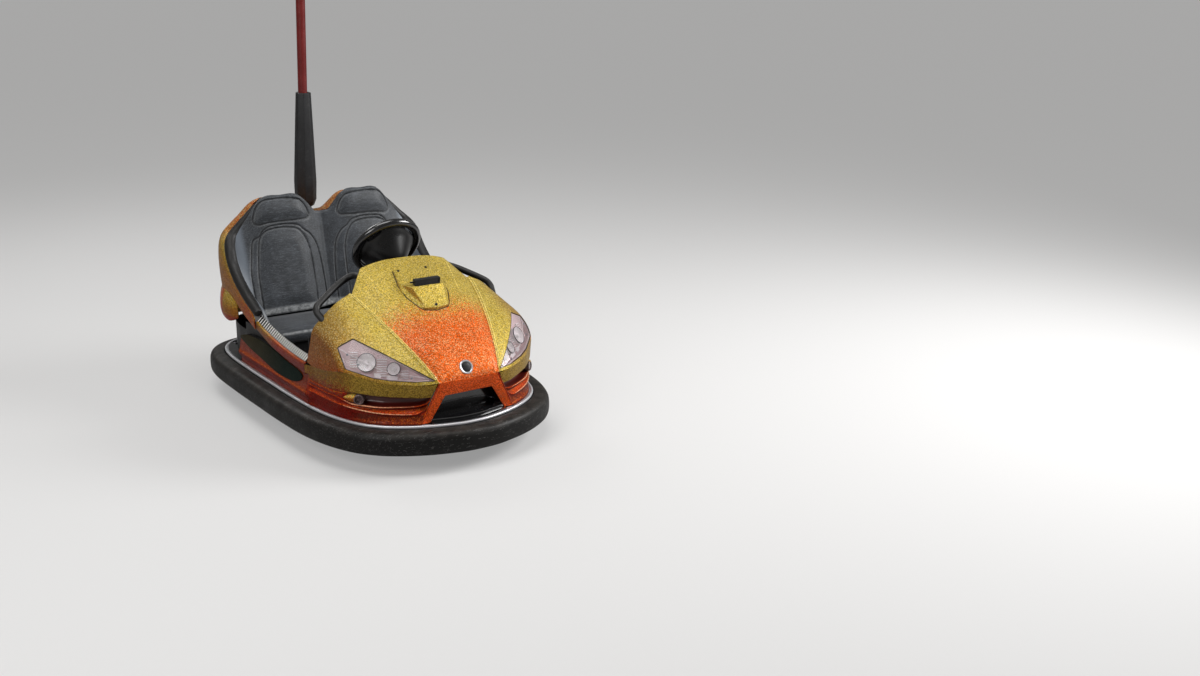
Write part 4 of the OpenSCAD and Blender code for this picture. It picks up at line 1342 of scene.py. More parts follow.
def refine(outline: Points, pitch: float) -> Points:
    """Puts more points on the long sides of a closed polygon.

    Args:
        outline: Corners.
        pitch: Longest side that is left.

    Returns:
        The longer list of points.
    """
    out = []
    for a, b in zip(outline, np.roll(outline, -1, axis=0)):
        n = max(1, int(np.linalg.norm(b - a) / pitch))
        out += [a + (b - a) * i / n for i in range(n)]
    return np.array(out)


def full_spline(columns: Grid, steps: int, sharp: Sequence[int] = (), rounding: float = 0.5) -> Grid:
    """Returns a dense whole-width grid from the columns of one half, with soft creases.

    Args:
        columns: Columns of one half, the middle first.
        steps: Pieces between two columns.
        sharp: Columns that stay creased.
        rounding: How much their creases are softened.

    Returns:
        The grid, from one side to the other.
    """
    full = both_sides(columns)
    mid = len(columns) - 1
    creases = sorted({mid + k for k in sharp} | {mid - k for k in sharp})
    dense = spline(full, steps, sharp=creases)
    return soften(dense, [c * steps for c in creases], rounding)


def distance_to(points: Points, line: Rows, closed: bool = False) -> Points:
    """Returns the distance of flat points from a line of straight pieces.

    Args:
        points: Flat points.
        line: Corners of the line.
        closed: Whether its ends join.

    Returns:
        One distance for each point.
    """
    p = np.asarray(points, float)
    q = np.asarray(line, float)
    ends = np.roll(q, -1, axis=0) if closed else q[1:]
    best = np.full(len(p), 1e9)
    for a, b in zip(q, ends):
        ab = b - a
        t = np.clip(((p - a) @ ab) / max(ab @ ab, 1e-9), 0, 1)
        best = np.minimum(best, np.linalg.norm(p - (a + t[:, None] * ab), axis=1))
    return best


def inside(points: Points, outline: Rows) -> Points:
    """Tells which flat points lie inside a polygon.

    Args:
        points: Flat points.
        outline: Corners of the polygon.

    Returns:
        True or false for each point.
    """
    p = np.asarray(points, float)
    q = np.asarray(outline, float)
    hit = np.zeros(len(p), bool)
    for a, b in zip(q, np.roll(q, -1, axis=0)):
        crosses = (a[1] > p[:, 1]) != (b[1] > p[:, 1])
        x = a[0] + (p[:, 1] - a[1]) / (b[1] - a[1] + 1e-12) * (b[0] - a[0])
        hit ^= crosses & (p[:, 0] < x)
    return hit


class Surface:
    """Ray target made of a grid."""

    def __init__(self, grid: Grid) -> None:
        """Builds the tree of faces.

        Args:
            grid: Points, columns by rows.
        """
        c, r = grid.shape[:2]
        faces = [(i * r + j, (i + 1) * r + j, (i + 1) * r + j + 1, i * r + j + 1)
                 for i in range(c - 1) for j in range(r - 1)]
        self.tree = BVHTree.FromPolygons([Vector(p) for p in grid.reshape(-1, 3)], faces)

    def hits(self, starts: Points, directions: Points) -> Points:
        """Returns where rays meet the grid, without those that miss it."""
        found = [self.hit(p, d) for p, d in zip(starts, np.broadcast_to(directions, starts.shape))]
        return np.array([p for p in found if p is not None])

    def hit(self, start: Row, direction: Row) -> Optional[Points]:
        """Returns where a ray meets the grid."""
        found = self.tree.ray_cast(Vector(start), Vector(direction))
        return None if found[0] is None else np.array(found[0])


# ---------------- bumper

@dataclass
class Bumper:
    """Rubber ring round the car and the bright strip on its inner edge."""

    screw_pitch: float = 146.0

    @staticmethod
    def ring(profile: Iterable[Row]) -> Shape:
        """Returns a closed ring round the car; each point of its profile is how far out and how high.

        Args:
            profile: How far out and how high each point is.

        Returns:
            The shape.
        """
        loops = [np.column_stack([loop, np.full(len(loop), z)])
                 for loop, z in ((strip_ring(8, out), z) for out, z in profile)]
        return Shape().grid(np.array(loops), wrap_u=True, wrap_v=True)

    def build(self, scatter: Scatter) -> None:
        """Makes the rubber, the strip and its screws.

        Args:
            scatter: Node tool that sets the screws.
        """
        profile = round_off(np.array([[0, 182], [30, 181.5], [50, 179.5], [66, 173], [75, 160], [78, 143], [78, 108],
                                      [75, 93], [66, 84.5], [52, 82], [8, 82], [0, 90]]), 3)
        dress(self.ring(profile).raw("bumper_rubber_ring"), BUMPER_RUBBER, ["bumper_tube"], 50)
        flat = [[-24, 187.4], [-22, 188], [-9, 188], [-7, 189], [-4, 191.6], [-0.5, 192.4], [3, 191.4], [5, 188.6],
                [5.4, 185], [4.4, 181], [2, 179], [-24, 181]]
        dress(self.ring(flat).raw("bumper_bright_strip"), STRIP_METAL, ["bumper_strip"], 40)
        middle = strip_ring(8, -4.5)
        steps = np.linalg.norm(np.roll(middle, -1, axis=0) - middle, axis=1)
        along = np.concatenate([[0], np.cumsum(steps)])
        count = int(along[-1] / self.screw_pitch)
        places = (np.arange(count) + 0.5) * along[-1] / count
        closed = np.vstack([middle, middle[:1]])
        spots = [((np.interp(s, along, closed[:, 0]), np.interp(s, along, closed[:, 1]), STRIP_Z), (0, 0, 1))
                 for s in places]
        scatter.spread("strip_screws", spots, screw_head(3.2, 1.4), STEEL)


# ---------------- front body

@dataclass
class FrontBody:
    """Front shell with its lamps, lip, grille frame, tray, badge and coin box."""

    lamp_centre: tuple[float, float, float] = (330.0, -660.0, 430.0)
    lamp_normal: tuple[float, float, float] = (0.47, -0.743, 0.476)
    floor_depth: float = 30.0
    frame_origin: tuple[float, float, float] = (0.0, -809.0, 356.0)
    steps: int = 6

    def __post_init__(self) -> None:
        """Works out the grids that several pieces share."""
        self.skin = full_spline(bezier_grid(HOOD_COLUMNS, 48), self.steps, (3, 4, 5, 6), 0.2)
        half = (len(self.skin) - 1) // 2
        self.fender = self.skin[half + 2 * self.steps:]
        self.ridge = bezier_grid(HOOD_COLUMNS, 48)[5]
        n = unit(np.array(self.lamp_normal))
        u = unit(np.cross([0, 0, 1.0], n))
        v = np.cross(n, u)
        self.lamp_axes = Matrix([*zip(u, v, n, self.lamp_centre), (0, 0, 0, 1)])
        self.lamp_outline = round_corners((np.array(LAMP_CORNERS) - self.lamp_centre) @ np.stack([u, v], axis=1), 7.0)
        self.lamp_n = n

    def lamp_shape(self, by: float, pitch: float = 0.0) -> Points:
        """Returns the lamp outline moved inwards, with more points where a pitch is given.

        Args:
            by: Distance moved.
            pitch: Longest side, or 0.

        Returns:
            Flat points.
        """
        o = self.lamp_outline
        d = unit(np.roll(o, -1, axis=0) - np.roll(o, 1, axis=0))
        side = np.stack([d[:, 1], -d[:, 0]], axis=1)
        area = np.sum(o[:, 0] * np.roll(o[:, 1], -1) - np.roll(o[:, 0], -1) * o[:, 1])
        moved = o - by * side * (1 if area > 0 else -1)
        return refine(moved, pitch) if pitch else moved

    def to_car(self, flat: Points, z: float) -> Points:
        """Takes flat lamp points at one height to the car's frame."""
        return placed(np.column_stack([flat, np.full(len(flat), z)]), self.lamp_axes)

    def on_lens(self, surface: "Surface", points: Points) -> Points:
        """Moves points along the lamp's direction onto a surface, and leaves out those that miss it."""
        return surface.hits(points + self.lamp_n * 120, -self.lamp_n)

    def lamp_tool(self, by: float, side: int) -> Piece:
        """Returns the block that cuts a lamp opening on one side.

        Args:
            by: Distance that the outline is moved inwards.
            side: 1 or -1.

        Returns:
            A closed object.
        """
        s = Shape().prism(self.lamp_shape(by), -60, 90, self.lamp_axes)
        if side < 0:
            s.points = [p * MIRROR for p in s.points]
        return s.raw("lamp_tool")

    def fade(self, x: Points, y: Points, z: Points) -> Points:
        """Returns how orange the shell is: strong between the ridges in front, a little low on the fenders.

        Args:
            x: Across.
            y: Along.
            z: Up.

        Returns:
            0 to 1 for each point.
        """
        ridge_x = np.interp(-y, -self.ridge[:, 1], self.ridge[:, 0])
        within = ramp(ridge_x - np.abs(x), -2, 6)
        side = 0.62 * ramp(-z, -480, -385) * ramp(y, -640, -540)
        return within * ramp(-y, 400, 690) + (1 - within) * side

    def deep(self, x: Points, y: Points, z: Points) -> Points:
        """Returns how brown the shell is: down the rear side of each fender."""
        return np.maximum(0.86 * ramp(np.abs(x), 396, 480) * ramp(y, -680, -490),
                          0.56 * ramp(np.abs(x), 290, 440) * ramp(y, -720, -500))

    def build_shell(self) -> None:
        """Makes the front shell with its lamp openings."""
        shell = Shape().shell(self.skin, inset(self.skin, WALL)).raw("front_shell_skin")
        for side in (1, -1):
            cut(shell, self.lamp_tool(0.0, side))
        write_weight(shell, "fade", self.fade)
        write_weight(shell, "deep", self.deep)
        dress(shell, GOLD, ["front_shell"], 40)
        # Light gold beads along the ridges and the flute line: painted highlights.
        beads = Shape()
        middle = (len(self.skin) - 1) // 2
        outward = normals(self.skin)
        for k in (4.5, 5.5):
            c = middle + int(k * self.steps)
            beads.tube((self.skin - 0.6 * outward)[c, 1:47], np.minimum(2.1, np.linspace(6.0, 1.4, 46)), 8)
        flute = [[207, -263, 736], [197, -319, 710], [182, -380, 681], [168, -444, 648]]
        line = Surface(self.skin).hits(spline(flute, 6) + [0, 0, 60], (0, 0, -1))
        beads.tube(line, np.linspace(1.8, 0.5, len(line)), 8)
        dress(beads.mirror().raw("hood_ridge_beads"), RIDGE_HIGHLIGHT_GOLD)

    def build_lamps(self, scatter: Scatter) -> None:
        """Makes lens, gasket, bowl, round lamps and fins on both sides.

        Args:
            scatter: Node tool that sets the screws.
        """
        outer = Surface(self.fender)
        inner = Surface(inset(self.fender, 5.4))
        flat = self.lamp_shape(0.0, 8.0)
        seal = Shape().closed_tube(self.on_lens(outer, self.to_car(flat, 0)), 1.2, 10)
        dress(seal.mirror().raw("lamp_seals"), MATT_BLACK)
        for side, node in ((1, "headlamp_lens_l"), (-1, "headlamp_lens_r")):
            grid = self.fender * np.array([float(side), 1.0, 1.0])
            lens = Shape().shell(inset(grid, 1.0 * side), inset(grid, 3.6 * side)).raw(node + "_glass")
            dress(cut(lens, self.lamp_tool(0.7, side), "INTERSECT"), LENS, [node], 40)
        wall_out, wall_in = self.lamp_shape(3.0, 10.0), self.lamp_shape(6.0, 10.0)
        bowl = Shape()
        foot = -self.floor_depth
        tops = []
        for f in wall_in:
            start = self.to_car(f[None], foot)[0]
            found = inner.hit(start, self.lamp_n)
            tops.append(foot + 30 if found is None else (found - start) @ self.lamp_n + foot - 0.5)
        rings = []
        for shape_line, drop in ((wall_out, 0.0), (wall_in, 1.0)):
            for part in np.linspace(0, 1, 6):
                z = foot + (np.array(tops) - foot - drop) * part
                rows = np.array([self.to_car(q[None], h)[0] for q, h in zip(shape_line, z)])
                rings.append(rows)
        rings = rings[:6] + rings[6:][::-1]
        bowl.grid(np.array(rings), wrap_v=True)
        bowl.prism(wall_in, foot, foot + 3, self.lamp_axes)
        discs, rings_dark = Shape(), Shape()
        for cx, cy, r in ((60, 14, 35), (-52, -14, 23)):
            axes = self.lamp_axes @ Matrix.Translation((cx, cy, foot + 3))
            rings_dark.lathe([(r + 3, 17), (r + 5, 17), (r + 5, 19.5), (r + 4, 20.6), (r + 3, 19.5)], axes, 40)
            discs.lathe([(r + 3, 0), (r + 3, 19), (r + 1.5, 20.5), (r, 19), (r * 0.86, 12), (r * 0.6, 6),
                        (r * 0.3, 3), (r * 0.28, 14), (r * 0.2, 18), (0, 19)], axes, 40)
        for x, step, rows in ((-22, 40, 8), (98, 30, 10), (-112, 30, 7)):
            for y in (-52 + 10 * k for k in range(rows + 2)):
                if inside([[x, y - 4], [x + step, y - 4], [x, y + 6], [x + step, y + 6]], wall_in).all():
                    discs.box((x, y, foot + 2), (x + step, y + 3.4, foot + 12), self.lamp_axes)
        dress(bowl.mirror().raw("lamp_bowls"), LAMP_SILVER, ["headlamp_bowls"])
        # White bar along the crease across the lens: painted highlight.
        crease = self.on_lens(outer, self.to_car(spline(LAMP_CREASE, 4), 0))
        discs.tube(crease - 5.4 * self.lamp_n, 1.5, 8)
        # Light plates under the round lamps: painted reflections.
        for plate in LAMP_REFLECTION_PLATES:
            discs.prism(plate, foot + 10, foot + 12.5, self.lamp_axes)
        dress(discs.mirror().raw("lamp_discs"), LAMP_DISC)
        dress(rings_dark.mirror().raw("lamp_disc_rings"), MATT_BLACK)
        spots = []
        for p in ((434, -566, 470), (240, -758, 384), (398, -598, 424)):
            found = outer.hit(np.array(p) + self.lamp_n * 60, -self.lamp_n)
            if found is not None:
                spots += [(found, self.lamp_n), (found * MIRROR, self.lamp_n * MIRROR)]
        scatter.spread("lamp_screws", spots, screw_head(4.6, 2.2), STEEL)

    @staticmethod
    def inward(p: Points, z: float, by: float) -> Points:
        """Returns a point moved inwards in plan, at a height."""
        v = unit(np.array([p[0], p[1] * 0.55]))
        return np.array([p[0] - by * v[0], p[1] - by * v[1], z])

    def lip_profile(self, row: Points) -> Points:
        """Returns the points of the lip from the hood line down to the strip, for one row of its table.

        Args:
            row: Numbers of the row.

        Returns:
            Points in millimetres.
        """
        a, b, up, low, d, k = row[0:3], row[3:6], row[6], row[7], row[8], row[9]
        rim = strip_ring(16, -STRIP_WIDTH - 1)
        i = k * 8
        r = rim[int(i)] * (1 - i % 1) + rim[int(i) + 1] * (i % 1)
        at = self.inward
        m = a + (b - a) * (a[2] - up) / (a[2] - b[2])
        c = b[:2] * 0.65 + r * 0.35
        e = b[:2] * 0.2 + r * 0.8
        return np.array([at(a, a[2] - 0.5, 0.2), at(m, up + 3, 0.0), at(m, up, 2.5), at(m, up - 1.5, 8),
                         at(m, up - 2, d), at(b, b[2] + 3, d), at(b, b[2] + 2.5, 8), at(b, b[2] + 0.5, 1),
                         at(b, b[2] - 2.5, 2.2), at(b, b[2] - 7, 8), at(b, (b[2] + low) / 2, 11), at(c, low + 3, 3),
                         at(c, low, -2.0), at(c, low - 3, -2.4), at(c, low - 8, 2.4), at(e, STRIP_Z + 16, 3),
                         np.array([r[0], r[1], STRIP_Z + 9]), np.array([r[0], r[1], STRIP_Z + 0.3])])

    def build_lip(self) -> None:
        """Makes the lower front body with its two crests and its recess."""
        dense = spline([r[0] + r[1] + r[2:] for r in LIP_ROWS], 8, sharp=(1,))
        grid = np.array([round_off(self.lip_profile(r), 2, closed=False) for r in dense])
        end = np.interp(grid[:, :, 2],
                        [188, 200, 210, 220, 231, 238.5, 245.5, 251, 276, 320, 325, 328.6, 334, 353, 367, 374],
                        [497, 496, 495, 501, 508, 509, 506, 503, 498.2, 489.6, 496, 505.6, 507.2, 507.8, 507, 502])
        near = ramp(grid[:, :, 1], -345, -292)
        grid[:, :, 0] += (end - grid[:, :, 0]) * near
        back = inset(grid, 4.0)
        # Beside the grille the lip ends on the sloping edge of the frame's leg.
        for g in (grid, back):
            leg = 141.8 + (358.5 - g[:14, :, 2]) * 0.4846
            g[:14, :, 0] = np.maximum(g[:14, :, 0], leg)
        lip = Shape().shell(grid, back).mirror().raw("front_lip_skin")

        def side(y: Points) -> Points:
            """Returns 1 on the sides and 0 in front."""
            return ramp(y, -650, -560)

        write_weight(lip, "fade", lambda x, y, z: (1 - side(y)) * ramp(z, 286, 304)
                     + side(y) * 0.75 * ramp(z, 262, 380))
        # Darker on the band between the crests and on the low face in front, as painted shade, and darker high on the
        # sides.
        write_weight(lip, "deep", lambda x, y, z: 0.45 * side(y) * ramp(z, 300, 400) + 0.75 * (1 - side(y)) * (
            ramp(z, 243, 249) * ramp(-z, -264, -258) + ramp(-z, -234, -226)))
        dress(lip, LIP_PAINT_LIT_AND_SHADED, ["front_lip"], 40)
        hollow = grid[[k for k, r in enumerate(dense) if r[8] > 9]][:, 9:24]
        # Dark red lining laid over the recess: painted shade.
        lining = Shape().shell(inset(hollow, -0.9), inset(hollow, -0.2)).mirror()
        dress(lining.raw("lip_recess_lining"), RECESS_SHADED_RED, ["fog_liners"])
        # Light lines along the two crests: painted highlights.
        crests = Shape()
        for row in (26, 46):
            crests.tube(grid[16:50, row], 2.5 * np.sin(np.linspace(0.25, 2.9, 34)) + 0.2, 8)
        dress(crests.mirror().raw("lip_crest_lines"), CREST_HIGHLIGHT_RED)
        edge = Shape()
        path = [[142, 2], [160, -35], [178, -72], [196, -110], [211, -141]]
        points = placed(np.column_stack([spline(path, 4), np.full(17, 3.0)]), turned_frame(self.frame_origin, 95))
        edge.tube(points, 3.2, 12)
        dress(edge.mirror().raw("frame_edge_beads"), ORANGE)

    def build_grille(self) -> None:
        """Makes the frame round the grille and the stepped tray in front of it."""
        frame = Shape()
        outline = [[-50, 3], [0, 2], [50, 3], [98, 5], [141, 2.5], [222.4, -165.5], [182.6, -165.5], [114, -56],
                   [-114, -56], [-182.6, -165.5], [-222.4, -165.5], [-141, 2.5], [-98, 5]]
        frame.prism(outline, 0, 5, turned_frame(self.frame_origin, 95))
        dress(bevel(frame.raw("grille_frame"), 1.6, 3), FRAME_ORANGE_LIT, ["nose_frame"])
        tray = Shape()
        for offset, low, high in ((-10.3, 188.3, 194.6), (-36.0, 194.0, 206.5)):
            ring = strip_ring(8, offset)
            front = sorted((p for p in ring if abs(p[0]) < 181 and p[1] < -700), key=lambda p: p[0])
            tray.prism(front + [np.array([181, -742]), np.array([-181, -742])], low, high, Matrix.Identity(4))
        tray.box((-165, -743, 188.3), (165, -738, 331))
        dress(bevel(tray.raw("grille_tray"), 1.6, 2), GLOSS_BLACK, ["front_tray"])

    def build_badge(self) -> None:
        """Makes the blank badge: a chrome ring round a plain dark disc."""
        axes = turned_frame((0, -782, 396), 58)
        rim = Shape().lathe([(31, -8), (31, 10), (30.4, 12), (28.4, 13.6), (25.8, 13.4), (23.6, 12), (23, 10),
                             (22.6, -8)], axes, 64)
        dress(rim.raw("badge_rim"), CHROME, ["badge_ring"])
        disc = Shape().lathe([(23.2, 5), (23.2, 9), (16, 9.6), (8, 9.9), (0, 10)], axes, 64)
        dress(disc.raw("badge_disc"), GLOSS_BLACK)

    def build_coin_box(self, scatter: Scatter) -> None:
        """Makes the coin box, its slot bar with the lever and its screws.

        Args:
            scatter: Node tool that sets the screws.
        """
        half = np.array(COIN_CORNERS, float)
        corners = np.concatenate([half, half * MIRROR, np.array(COIN_MIDDLE, float)])
        faces = ([f[::-1] for f in COIN_SIDE_FACES] + [[k + 9 for k in f] for f in COIN_SIDE_FACES]
                 + [f[::-1] for f in COIN_MIDDLE_FACES])
        dress(bevel(Shape().add(corners, faces).raw("coin_box_skin"), 5.0, 4, 12.0), GOLD, ["coin_box"])
        tops = np.concatenate([half[[0, 1, 2, 3, 3]], COIN_MIDDLE[1:], (half * MIRROR)[[3, 3, 2, 1, 0]]])
        feet = np.concatenate([half[[4, 5, 6, 7, 8]], COIN_MIDDLE[:1], (half * MIRROR)[[8, 7, 6, 5, 4]]])
        along = np.linspace(0, 10, 81)
        top, foot = (np.column_stack([np.interp(along, range(11), q[:, c]) for c in range(3)]) for q in (tops, feet))
        seam = Surface(self.skin).hits(top, unit(foot - top))
        dress(Shape().tube(seam, 2.0, 8).raw("coin_box_seam"), MATT_BLACK)
        slot = Shape()
        axes = turned_frame((-60, -474, 690.5), 4.7)
        slot.box((0, 3, 0), (121, 26, 27), axes)
        for low, high in (((0, 0, 0), (121, 3.2, 5)), ((0, 0, 22), (121, 3.2, 27)), ((0, 0, 4), (4, 3.2, 23)),
                          ((117, 0, 4), (121, 3.2, 23))):
            slot.box(low, high, axes)
        slot.box((-18, 12, 12), (2, 20, 18), axes)
        dress(bevel(slot.raw("coin_slot_bar"), 1.0, 2), MATT_BLACK, ["coin_slot"])
        spots = [((68, -334, 732), (0.02, -0.42, 0.9)), ((-68, -334, 732), (-0.02, -0.42, 0.9)),
                 ((0, -545, 619), (0, -0.75, 0.66))]
        scatter.spread("coin_box_screws", spots, screw_head(6.0, 3.2), MATT_BLACK)

    def build_fog_lamps(self) -> None:
        """Makes the round lamps in the recess, with rim and lens."""
        axes = Matrix.Translation((417, -626, 290)) @ Matrix.Rotation(math.radians(38), 4, "Z") \
            @ Matrix.Rotation(math.radians(90), 4, "X")
        body = Shape().lathe([(0, -50), (20, -50), (21.6, -6), (21.6, 6), (21, 10), (19, 11.5), (17, 10.5), (16.6, 4),
                              (8, -3), (0, -4)], axes, 48)
        dress(body.mirror().raw("fog_lamp_cans"), FOG_METAL, ["fog_lamps"])
        glass = Shape().lathe([(0, 5), (16.4, 5), (16.8, 7), (13.6, 9.5), (7, 11.4), (0, 12)], axes, 48)
        dress(glass.mirror().raw("fog_lamp_glass"), FOG_LENS)
        cone = Shape()
        start = np.array(axes)[:3, 3]
        line = start + np.array([2.0, 26.0, 0.0]) + np.linspace(0, 1, 7)[:, None] * np.array([42.0, 24.0, 3.0])
        cone.tube(line, np.array([20.0, 19.5, 18.5, 16.5, 13.5, 9.5, 4.0]), 28)
        cowl = cone.mirror().raw("fog_lamp_cowls")
        write_weight(cowl, "fade", lambda x, y, z: 0.3)
        dress(cowl, GOLD)

    def build(self, scatter: Scatter) -> None:
        """Makes the whole front body.

        Args:
            scatter: Node tool that sets the screws.
        """
        self.build_shell()
        self.build_lamps(scatter)
        self.build_lip()
        self.build_grille()
        self.build_badge()
        self.build_coin_box(scatter)
        self.build_fog_lamps()


# ---------------- sides

@dataclass
class Sides:
    """Sills, panels under them, glossy inserts and ribbed step plates on both sides."""

    ribs: int = 28
    slope: float = 46.2

    def __post_init__(self) -> None:
        """Smooths the table of the band."""
        self.band = spline(BAND_ROWS, 8)
        self.band[0, 0] -= 5.5

    def build_sills(self) -> None:
        """Makes the painted bands under the door openings."""
        rows = []
        for y, z, b, i in self.band:
            prof = np.array([[i - 4, z + 14], [i - 4, z + 18.5], [i - 3.1, z + 20.6], [i + 4, z + 13.6],
                             [492, z], [496, z - 3.6], [502, z - 4.4], [505.6, z - 7], [507, z - 13],
                             [507.8, (z + b) / 2], [507.2, b + 8], [505.6, b + 2.6], [502, b], [482, b + 3]])
            prof = round_off(prof, 2, closed=False)
            rows.append(np.column_stack([prof[:, 0], np.full(len(prof), y), prof[:, 1]]))
        g = np.array(rows)
        sills = Shape().shell(g, inset(g, 3.0)).mirror().raw("side_sill_bands")
        write_weight(sills, "fade", lambda x, y, z: 0.9 * ramp(y, -60, 200))
        write_weight(sills, "deep", lambda x, y, z: 0.35 + 0.35 * ramp(-y, -60, 200))
        dress(sills, ORANGE, ["side_sills"], 40)

    def build_panels(self) -> None:
        """Makes the lower side panels with their bead."""
        def lean(z: float) -> float:
            """Returns how far out the leaning part of the panel is at a height."""
            return 486 + (338 - z) * 15 / 76

        rows = []
        table = np.array(PANEL_ROWS, float)
        for y in np.union1d(np.linspace(-290.5, 468, 60), table[1:, 0]):
            t = float(np.interp(y, table[:, 0], table[:, 1])) - 2.2
            prof = np.array([[474, t], [lean(t - 1) - 3, t - 0.2], [lean(t - 1), t - 1.4], [lean(t - 6), t - 6],
                             [lean(276), 276], [503, 251], [506, 245.5], [508.6, 242], [509, 238.5], [508, 231],
                             [501, 220], [495, 210], [496, 200], [497, 188.9]])
            prof = round_off(prof, 1, closed=False)
            rows.append(np.column_stack([prof[:, 0], np.full(len(prof), y), prof[:, 1]]))
        g = np.array(rows)
        panels = Shape().shell(g, inset(g, 4.0)).mirror().raw("side_panel_skins")
        # Darker tone overall, and darker still towards the top under the sill as painted shade.
        write_weight(panels, "deep", lambda x, y, z: 0.5 + 0.4 * ramp(z, 246, 300))
        dress(panels, ORANGE, ["side_panels"], 40)
        panels.data.materials.append(MATT_BLACK.material())
        for face in panels.data.polygons:
            if face.normal.z > 0.5 and abs(face.center.x) < 0.4865:
                face.material_index = 1

    def build_inserts(self) -> None:
        """Makes the glossy inserts, with a small rounded border."""
        axes = turned_frame((486, 100, 338), 90 - math.degrees(math.atan2(15, 76)), "Y") \
            @ Matrix.Translation((0, 0, 0.3))
        s = Shape().prism(spline(INSERT_OUTLINE, 6, closed=True), 0, 4, axes)
        dress(bevel(s.mirror().raw("side_insert_plates"), 1.5, 3, 50), INSERT, ["side_inserts"], 40)

    def build_steps(self) -> None:
        """Makes the step plates: a dark base and ribs laid along it by a node tree."""
        base = Shape()
        foot = np.array([[[i - 2.6, y, z + 21.4], [496.2, y, z - 2.5]] for y, z, _, i in self.band])
        base.shell(foot + np.array([1.4, 0, 1.4]), foot)
        dress(bevel(base.mirror().raw("step_plate_bases"), 0.4, 2), RIBBED, ["step_plates"])
        tree = RibRow("step_ribs")
        for side, name in ((1, "step_ribs_left"), (-1, "step_ribs_right")):
            path = [(side * ((i + 492.8) / 2 + 2.0), y, z + 11.4) for y, z, _, i in self.band[1:-1]]
            ribs = tree.run(name, path, (32.0, 8.4, 1.4), self.ribs, side * self.slope, RIBBED)
            write_weight(ribs, "rib", lambda x, y, z: 1.0)
            dress(ribs, RIBBED)

    def build(self) -> None:
        """Makes both sides."""
        self.build_sills()
        self.build_panels()
        self.build_inserts()
        self.build_steps()


# ---------------- rear body

@dataclass
class Tail:
    """Rear shell with its shoulders, and the rounded pods low on its corners."""

    steps: int = 5

    def build(self) -> None:
        """Makes the rear shell and the pods."""
        g = full_spline(bezier_grid(TAIL_COLUMNS, 30), self.steps, (1, 2), 0.6)
        shell = Shape().shell(g, inset(g, WALL)).raw("rear_shell_skin")
        write_weight(shell, "fade", lambda x, y, z: 0.5 * ramp(-y, -560, -300)
                     * ramp(np.abs(x), 470, 500) + 0.6 * ramp(z, 700, 820))
        write_weight(shell, "deep", lambda x, y, z: 0.5 * ramp(z, 680, 800))
        dress(shell, GOLD, ["rear_shell"], 40)
        pod = spline(bezier_grid(POD_COLUMNS, 24), 8)
        pods = Shape().shell(pod, inset(pod, WALL)).mirror().raw("rear_corner_pods")
        write_weight(pods, "fade", lambda x, y, z: np.maximum(
            0.9 * ramp(-z, -430, -386), 0.9 * ramp(y, 545, 590)
            * ramp(-y, -700, -600)))
        write_weight(pods, "deep", lambda x, y, z: 0.25 * ramp(z, 470, 520))
        dress(pods, GOLD, angle=40)


# ---------------- seats and cockpit

HEAD_PANEL = [[-356, 844], [-347, 871], [-336, 895], [-318, 915], [-296, 926], [-259, 930], [-208, 931],
              [-155, 926], [-122, 917], [-99, 896], [-82, 866], [-76, 844], [-84, 830], [-100, 824], [-172, 823],
              [-242, 823], [-293, 820], [-326, 814], [-348, 818], [-357, 828]]
BACK_OUTER = [[-407, 470], [-405, 583], [-390, 667], [-379, 722], [-366, 747], [-342, 757], [-323, 782],
              [-292, 802], [-244, 808], [-192, 808], [-140, 796], [-114, 772], [-84, 750], [-60, 716], [-46, 676],
              [-38, 625], [-33, 566], [-30, 500], [-29, 400]]
BACK_INNER = [[-372, 420], [-372, 500], [-370, 578], [-358, 665], [-345, 730], [-330, 764], [-298, 786],
              [-246, 794], [-194, 792], [-148, 780], [-123, 754], [-105, 719], [-93, 675], [-88, 617], [-87, 543],
              [-87, 470], [-89, 420]]


